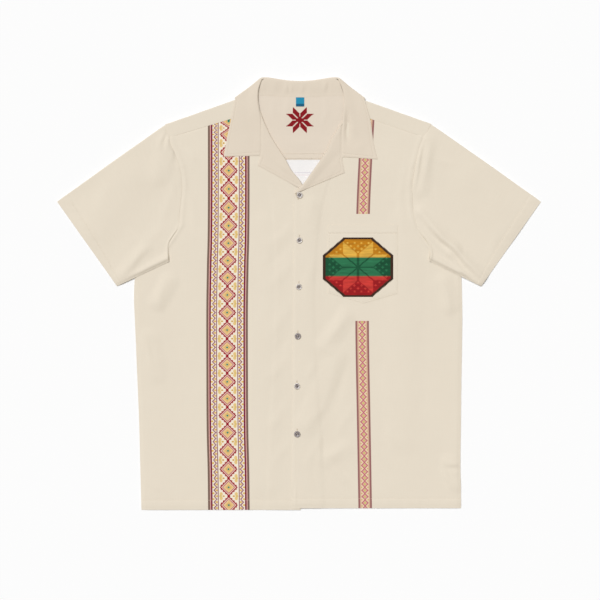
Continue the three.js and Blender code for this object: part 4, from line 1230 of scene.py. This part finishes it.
class Finish:
    """A material with a node tree. node() adds any node: its type, its settings, which are set
    first, and then the values or links of its sockets."""

    def __init__(self, name):
        self.material = bpy.data.materials.new(name)
        self.material.use_nodes = True
        self.nodes, self.links = self.material.node_tree.nodes, self.material.node_tree.links
        self.shader = self.nodes["Principled BSDF"]

    def node(self, kind, settings, values, output=0):
        added = self.nodes.new(kind)
        for key, value in settings.items():
            setattr(added, key, value)
        for key, value in values.items():
            self.plug(added.inputs[key], value)
        return Flow(self, added.outputs[output])

    def plug(self, socket, value):
        if isinstance(value, Flow):
            self.links.new(value.socket, socket)
        else:
            socket.default_value = value

    def shade(self, values):
        """Sets or links sockets of the shader."""
        for key, value in values.items():
            self.plug(self.shader.inputs[key], value)

    def paint(self, under, *layers):
        """Colours over a first one, in the order given, each where its mask is 1."""
        for colour, mask in layers:
            under = self.node("ShaderNodeMix", {"data_type": "RGBA"},
                              {0: mask, 6: under, 7: colour}, output=2)
        return under

    def tint(self, colour, value):
        """A colour made lighter or darker: each of its parts times the value."""
        grey = self.node("ShaderNodeCombineXYZ", {}, {0: value, 1: value, 2: value})
        return self.node("ShaderNodeMix", {"data_type": "RGBA", "blend_type": "MULTIPLY"},
                         {0: 1.0, 6: colour, 7: grey}, output=2)

    def cloud(self, where, detail=3.0):
        """Noise from 0 to 1, with about one blob per unit of its coordinates."""
        return self.node("ShaderNodeTexNoise", {},
                         {"Vector": where, "Scale": 1.0, "Detail": detail})

    def place(self):
        """Where a point lies on the shirt, as a vector in metres."""
        return self.node("ShaderNodeTexCoord", {}, {}, output=3)

    def spot(self):
        """Where a point lies on the shirt, as x and y in millimetres."""
        return [part * 1000 for part in self.place().parts()[:2]]

    def attribute(self, name):
        return self.node("ShaderNodeAttribute", {"attribute_name": name}, {}, output=1)

    def stretch(self, where, factors):
        return self.node("ShaderNodeVectorMath", {"operation": "MULTIPLY"}, {0: where, 1: factors})


# %% [markdown]
# ## Dyes
# Colours are written as they look on a screen, from 0 to 255, and are turned into the linear
# values that a shader takes.

# %% Dyes
def dye(red, green, blue):
    """The linear colour of a screen colour: a part c becomes ((c + 0.055) / 1.055) to the 2.4, and
    a very dark one c / 12.92. No part is above 0.97, as no cloth reflects all light."""
    screen = np.array([red, green, blue]) / 255
    linear = np.where(screen <= 0.04045, screen / 12.92, ((screen + 0.055) / 1.055) ** 2.4)
    return (*np.clip(linear, 0, 0.97).tolist(), 1.0)


CREAM = dye(230, 219, 201)
WHITE = dye(243, 240, 238)
THREAD = dye(226, 214, 194)
GROUND = dye(242, 231, 212)


def flat_colour(finish, colour):
    """A colour as a socket, so that something can be painted over it."""
    flat = finish.node("ShaderNodeRGB", {}, {})
    flat.socket.default_value = colour
    return flat


print("cream as linear light:", [round(part, 3) for part in CREAM])

# %% [markdown]
# ## Cream cloth
# The cloth is a light plain weave. Warp and weft threads lie about half a millimetre apart, and
# some are a little thicker than others, which shows as faint streaks along both. Over the whole
# shirt the colour drifts very slightly. The weave is a product of two waves that raises a bump;
# the streaks are noise that is stretched along the grain.

# %% Weave any cloth
THREAD_STEP = 0.46


def woven(name, colour, draw=None):
    """A woven finish of a plain colour, on which the function draw may paint something."""
    finish = Finish(name)
    cloth = flat_colour(finish, colour)
    if draw:
        cloth = draw(finish, cloth)
    grain = finish.attribute("grain")
    warp, weft, _ = grain.parts()
    turns = 2 * np.pi / THREAD_STEP
    crossing = (warp * turns).sine() * (weft * turns).sine()
    warp_streaks = finish.cloud(finish.stretch(grain, (1.3, 0.035, 1)))
    weft_streaks = finish.cloud(finish.stretch(grain, (0.035, 1.3, 1)))
    drift = finish.cloud(finish.stretch(grain, (0.012, 0.012, 1)), 2.0)
    light = 0.955 + warp_streaks * 0.04 + weft_streaks * 0.03 + drift * 0.03 + crossing * 0.012
    relief = crossing * 0.5 + warp_streaks * 0.7 + weft_streaks * 0.7
    bump = {"Strength": 0.5, "Distance": 0.00012, "Height": relief}
    finish.shade({"Base Color": finish.tint(cloth, light), "Roughness": 0.8 + warp_streaks * 0.12,
                  "Normal": finish.node("ShaderNodeBump", {}, bump), "Sheen Weight": 0.06,
                  "Sheen Roughness": 0.5, "Specular IOR Level": 0.25})
    print(f"{name}: {len(finish.nodes)} nodes")
    return finish.material


def inside_of_back(finish, cloth):
    """The white inside with two faint lines, where a print on the outside shows through."""
    x, y = finish.spot()
    across = x.near(7.0, 15.0, 1.5) * 0.8
    return finish.paint(cloth, (dye(214, 206, 214), y.near(211.3, 0.6, 0.3) * across),
                        (dye(234, 214, 218), y.near(207.3, 0.5, 0.3) * across))


cream_cloth = woven("cream cloth", CREAM)
collar_cream = woven("cream collar cloth", dye(226, 213, 195))
white_inside = woven("unprinted inside", WHITE)
back_inside = woven("unprinted inside of the back", WHITE, inside_of_back)

# %% [markdown]
# ## The wide woven-sash band
# A band like a hand-woven sash runs down the wearer's right front: a chain of stepped lozenges in
# the middle, a zigzag with dots on both sides, and plain stripes at the edges. The chart below is
# read by distance from the band's middle and by share of one repeat, and both are rounded to
# whole threads, so that slanted edges come out in small steps as in a woven band.

# %% Chart the wide band
REPEAT = 31.0
SASH_STEP = 0.9


def oval(across, along, middle, half, blur):
    """A mask: 1 inside an oval about a middle, with the given half width and half height."""
    u, v = (across - middle[0]) / half[0], (along - middle[1]) / half[1]
    return (u * u + v * v).below(1.0, blur)


def lozenge_chain(finish, side, rise, to_knot):
    """The middle of the wide band: lozenges inside each other by side / 15.6 + rise / 15.5, with
    toothed edges, and petals, leaves and spots about the knots where two lozenges meet."""
    lozenge = side / 15.6 + rise / 15.5
    toothed = (side / 2.1).rounded() * (2.1 / 15.6) + (rise / 2.1).rounded() * (2.1 / 15.5)
    check = ((side + rise) / 3.6).fraction().below(0.5, 0.1)
    petal = oval(side, to_knot, (13.3, 3.7), (2.7, 3.5), 0.15) * (0 - toothed).below(-1.02, 0.02)
    tooth = ((side - rise) / 7.75 + 0.25).fraction().near(0.5, 0.25, 0.03) * side.below(15.8, 0.1)
    return finish.paint(
        GROUND,
        (dye(240, 204, 186), lozenge.below(0.88, 0.02)),
        (dye(176, 76, 100), lozenge.near(0.68, 0.05, 0.015)),
        (dye(238, 212, 156), lozenge.below(0.6, 0.02)),
        (dye(218, 166, 88), lozenge.below(0.5, 0.02) * check),
        (dye(40, 126, 106), lozenge.below(0.13, 0.02)),
        (dye(228, 196, 128), petal),
        (dye(220, 190, 120), oval(side, to_knot, (14.6, 0), (2.4, 2.0), 0.2)),
        (dye(206, 160, 62), oval(side, to_knot, (8.9, 0), (1.9, 1.7), 0.2)),
        (dye(176, 40, 56), lozenge.near(1.06, 0.055, 0.012) * tooth),
        (dye(150, 14, 36), lozenge.near(0.935, 0.095, 0.012)),
        (dye(150, 14, 36), (side + to_knot).below(2.4, 0.2)))


def wide_band(finish, cloth):
    """The colour of the wide band over a cloth: masks from |x| and from the height in a repeat."""
    across, repeat, _ = finish.attribute("sash").parts()
    side = (abs(across) / SASH_STEP).rounded() * SASH_STEP
    steps = round(REPEAT / SASH_STEP)
    share = (repeat * steps).rounded() / steps
    rise = abs(share.fraction() - 0.5) * REPEAT
    third = abs((share * 3).fraction() - 0.5) * 2
    dots = [oval(side, third, middle, (1.8, 1.7 * 6 / REPEAT), 0.3)
            for middle in ((21.2, 1), (26.6, 0))]
    cord = (repeat * 14).fraction().below(0.5, 0.08)
    return finish.paint(
        cloth,
        (GROUND, side.below(36.4, 0.2)),
        (lozenge_chain(finish, side, rise, REPEAT / 2 - rise), side.below(17.0, 0.2)),
        (dye(152, 104, 114), side.near(18.7, 0.9, 0.2)),
        (dye(150, 94, 108), side.near(20.9 + third * 4.6, 1.3, 0.25) * side.near(23.3, 4.3, 0.2)),
        *((dye(222, 178, 78), dot) for dot in dots),
        (dye(116, 12, 58), side.near(29.7, 1.0, 0.1)),
        (dye(226, 182, 170), side.near(31.95, 0.6, 0.1)),
        (dye(196, 138, 130), side.near(31.95, 0.6, 0.1) * cord),
        (dye(128, 104, 92), side.near(34.6, 1.5, 0.15)),
        (dye(104, 76, 62), side.near(34.6, 0.6, 0.15) * (1 - cord)))


wide_cloth = woven("cream cloth with the wide sash band", CREAM, wide_band)

# %% [markdown]
# ## The narrow band and the folk star
# The narrow band on the other front has one small chain of lozenges between two tan stripes, and
# is left out behind the pocket. The pocket carries a generic eight-pointed folk star in three
# bands of gold, green and red. It reaches a little past the pocket's edge onto the front, so both
# cloths use one function of the place on the shirt. The rule for a star is only that the smaller
# of |x| and |y|, and the difference of both, stay below a share of its half size.

# %% Chart the narrow band and the star
STAR_MIDDLE, STAR_SIZE = (103.2, 45.9), (62.0, 53.0)


def narrow_band(finish, cloth):
    """The colour of the narrow band over a cloth, above and below the pocket."""
    across, height, _ = finish.attribute("sash").parts()
    side = (abs(across) / 0.6).rounded() * 0.6
    to_knot = abs(((height - 227.9) / 10.9 + 0.5).fraction() - 0.5) * 10.9
    to_knot = (to_knot / 0.6).rounded() * 0.6
    lozenge = side / 5.3 + (5.45 - to_knot) / 5.45
    dot = (side - 5.4) * (side - 5.4) + to_knot * to_knot
    chain = finish.paint(
        dye(232, 208, 172),
        (dye(220, 168, 150), lozenge.below(1.0, 0.05)),
        (dye(206, 194, 112), lozenge.below(0.45, 0.06)),
        (dye(186, 88, 112), lozenge.near(1.0, 0.2, 0.05)),
        (dye(200, 172, 96), dot.below(1.3, 0.4)))
    band = finish.paint(dye(214, 174, 148), (chain, side.below(6.5, 0.2)),
                        (dye(150, 100, 98), side.near(10.4, 1.65, 0.2)))
    return finish.paint(cloth, (band, side.below(11.95, 0.2) * (1 - height.near(45.6, 93.5, 0.3))))


def star_masks(wide, high, reach, blur, rib, ridge):
    """From |x| and |y| as shares of a half size: an eight-pointed star, where the smaller of both
    and their difference are below reach; the thin ribs in it; and the larger of both."""
    most, least = wide.larger(high), wide.smaller(high)
    star = (most - least).larger(least).below(reach, blur)
    return star, least.below(*rib).larger((most - least).below(*ridge)), most


def folk_star(finish, cloth):
    """A stepped badge in three bands, with an eight-pointed star in lighter bands on it."""
    step = 1.6
    p, q = (((at - middle) / step).rounded() * (step / size)
            for at, middle, size in zip(finish.spot(), STAR_MIDDLE, STAR_SIZE))
    wide, high = abs(p), abs(q)
    badge = wide.larger(high).larger((wide + high) / 1.4)
    base, light = (finish.paint(gold, (green, q.below(0.33, 0.01)), (red, q.below(-0.3, 0.01)))
                   for gold, green, red in (FLAG, FLAG_LIGHT))
    star, rib, _ = star_masks(wide, high, 0.42, 0.012, (0.028, 0.006), (0.028, 0.006))
    knots = [(slant * 5).fraction().near(0.5, 0.2, 0.04) for slant in (p + q, p - q)]
    colour = finish.paint(
        base, (light, star * (1 - rib)),
        (light, knots[0] * knots[1] * (1 - star) * badge.below(0.86, 0.01)))
    threads = (finish.spot()[1] * 2 * np.pi / 1.75).sine() * 0.1 + 0.92
    worn = finish.cloud(finish.stretch(finish.place(), (45, 330, 45)), 4.0)
    colour = finish.tint(colour, threads * (0.42 + worn * 0.95))
    colour = finish.paint(colour, (dye(58, 36, 24), badge.near(0.955, 0.042, 0.008)))
    return finish.paint(cloth, (colour, badge.below(0.99, 0.006)))


FLAG = [dye(206, 134, 20), dye(20, 84, 54), dye(168, 22, 28)]
FLAG_LIGHT = [dye(240, 186, 76), dye(46, 122, 82), dye(214, 62, 54)]


def painted_slit_shade(finish, cloth):
    """The painted shade of each upright buttonhole's slit, where it shows above its button, and of
    the slanted one beside the top button: a darker line where the open cut would lie in shade."""
    x, y = finish.spot()
    # Painted shade: the slit colours are darker lines that stand for the shade in the open cuts.
    upright = [(dye(176, 162, 144), x.near(slit_x, 0.3, 0.15) * y.near(slit_y + 4, 5.5, 0.2))
               for slit_x, slit_y in BUTTONS[1:]]
    cos, sin, px, py = np.cos(SLIT_SLANT), np.sin(SLIT_SLANT), x - TOP_SLIT[0], y - TOP_SLIT[1]
    slanted = (px * cos + py * sin).near(0, 0.3, 0.15) * (py * cos - px * sin).near(6.5, 6.0, 0.2)
    return finish.paint(cloth, *upright, (dye(150, 132, 112), slanted))


narrow_cloth = woven("cream cloth with the narrow sash band", CREAM, lambda finish, cloth:
                     painted_slit_shade(finish, folk_star(finish, narrow_band(finish, cloth))))
pocket_cloth = woven("cream pocket with the folk star", CREAM, folk_star)

# %% [markdown]
# ## Neck ornament, label, thread and pearl
# The inner yoke has a small dark red ornament under the label, here the star alone. The label is
# a plain teal tape with a darker woven edge. The buttons are smoky pearl: cloudy, with a lighter
# rim, a dark middle and a polished coat.

# %% Finish the neck, the label, the thread and the buttons
def neck_ornament(finish, cloth):
    """A small dark red star with stepped edges on the inner yoke."""
    step = 1.3
    p, q = (abs(((at - middle) / step).rounded() * (step / size))
            for at, middle, size in zip(finish.spot(), (1.5, 303.1), (23.6, 21.8)))
    star, ribs, most = star_masks(p, q, 0.52, 0.01, (0.03, 0.01), (0.045, 0.01))
    heart = (p + q).below(0.3, 0.02)
    star = star * most.below(1.02, 0.01) * (1 - ribs * (1 - heart))
    return finish.paint(cloth, (dye(136, 14, 24), star))


def tape_edge(finish, cloth):
    """The darker lower edge of the label's tape."""
    _, height, _ = finish.attribute("grain").parts()
    return finish.paint(cloth, (dye(24, 92, 124), height.below(331.5, 0.4)))


neck_cloth = woven("cream inner yoke with a red star", dye(227, 214, 197), neck_ornament)
label_cloth = woven("teal tape", dye(34, 140, 176), tape_edge)

thread_finish = Finish("cream thread")
strands = thread_finish.cloud(thread_finish.stretch(thread_finish.place(), (2200, 2200, 2200)))
thread_colour = thread_finish.tint(flat_colour(thread_finish, THREAD), 0.9 + strands * 0.2)
thread_finish.shade({"Base Color": thread_colour, "Roughness": 0.6})
cream_thread = thread_finish.material

pearl_finish = Finish("smoky pearl")
out = pearl_finish.node("ShaderNodeVectorMath", {"operation": "LENGTH"},
                        {0: pearl_finish.stretch(pearl_finish.attribute("grain"), (1, 1, 0))},
                        output=1)
clouds = pearl_finish.cloud(pearl_finish.stretch(pearl_finish.place(), (420, 420, 420)), 4.0)
bands = pearl_finish.cloud(pearl_finish.stretch(pearl_finish.place(), (160, 700, 160)), 2.0)
smoky = sum(pearl_finish.spot()[1].near(y, 8, 1) for _, y in (BUTTONS[3], BUTTONS[5]))
pearl = pearl_finish.paint(
    dye(214, 206, 198),
    (dye(172, 160, 160), clouds.below(0.5, 0.15)),
    (dye(70, 58, 68), out.below(2.7, 0.6) * 0.95),
    (dye(226, 218, 206), out.near(4.9, 0.8, 0.3) * (0.85 - smoky * 0.85)),
    (dye(120, 110, 110), smoky * 0.6),
    (dye(70, 60, 66), bands.below(0.42, 0.12) * 0.45))
pearl_finish.shade({"Base Color": pearl, "Roughness": 0.18 + clouds * 0.15, "Coat Weight": 0.6,
                    "Coat Roughness": 0.1})
smoky_pearl = pearl_finish.material

# %% [markdown]
# ## A finish for each side
# A piece of cloth has two finishes, its outside and its inside, and Solidify gives the second one
# to its other side. The label, the collar and the lapels are the same on both sides. Stitches are
# thread, except on the pocket, where the print covers them.

# %% Give every piece its finish
OUTSIDES = {"front_right_cloth": wide_cloth, "front_left_cloth": narrow_cloth,
            "pocket_cloth_patch": pocket_cloth, "inner_yoke_cloth": neck_cloth,
            "neck_label_tape": label_cloth, "collar_cloth": collar_cream,
            "lapel_right_cloth": collar_cream, "lapel_left_cloth": collar_cream}
BOTH_SIDES = ("collar_cloth", "lapel_right_cloth", "lapel_left_cloth", "neck_label_tape")
for name, piece in made.items():
    if name.startswith("shirt_button"):
        finishes = [smoky_pearl]
    elif name == "stitches_pocket":
        finishes = [pocket_cloth]
    elif name.startswith(("stitches", "button_thread")):
        finishes = [cream_thread]
    else:
        outside = OUTSIDES.get(name, cream_cloth)
        inside = back_inside if name == "back_cloth" else white_inside
        finishes = [outside, outside if name in BOTH_SIDES else inside]
    for finish in finishes:
        piece.data.materials.append(finish)
print("finished pieces:", len(made))

# %% [markdown]
# ## Camera, floor and light
# The camera looks straight down through a long lens, as for a catalogue picture of a garment on a
# table. The lamp is a far, soft sun, a little beyond the collar and to the wearer's right. It
# leaves thin shadows under the edges that face the hem.

# %% Camera, floor and light
LENS, SENSOR, VIEW_WIDTH = 120, 36, 1.05
camera_data = bpy.data.cameras.new("camera")
camera_data.lens, camera_data.sensor_width = LENS, SENSOR
camera = bpy.data.objects.new("camera", camera_data)
camera.location = (0.00175, -0.0114, VIEW_WIDTH * LENS / SENSOR)
bpy.context.scene.collection.objects.link(camera)
bpy.context.scene.camera = camera

far = 6000
floor = mesh_piece("floor", np.array([(-far, -far, -0.3), (far, -far, -0.3), (far, far, -0.3),
                                      (-far, far, -0.3)]), [(0, 1, 2, 3)])


def sun(name, towards, strength, spread, colour):
    """A far lamp: the direction that its light comes from, its strength, and how soft it is."""
    data = bpy.data.lights.new(name, "SUN")
    data.energy, data.angle, data.color = strength, spread, colour
    lamp = bpy.data.objects.new(name, data)
    lamp.rotation_euler = Vector(towards).to_track_quat("Z", "Y").to_euler()
    bpy.context.scene.collection.objects.link(lamp)


sun("key", (-0.25, 0.33, 1.0), 2.58, 0.5, (0.93, 0.956, 1.0))
floor_finish = Finish("pale floor")
floor_finish.shade({"Base Color": dye(252, 252, 252), "Roughness": 1.0, "Specular IOR Level": 0.0})
floor.data.materials.append(floor_finish.material)
world = bpy.data.worlds.new("world")
world.use_nodes = True
sky = world.node_tree.nodes["Background"].inputs
sky["Color"].default_value, sky["Strength"].default_value = (1.0, 0.933, 0.82, 1), 0.3
bpy.context.scene.world = world
bpy.context.scene.view_settings.view_transform = "Standard"
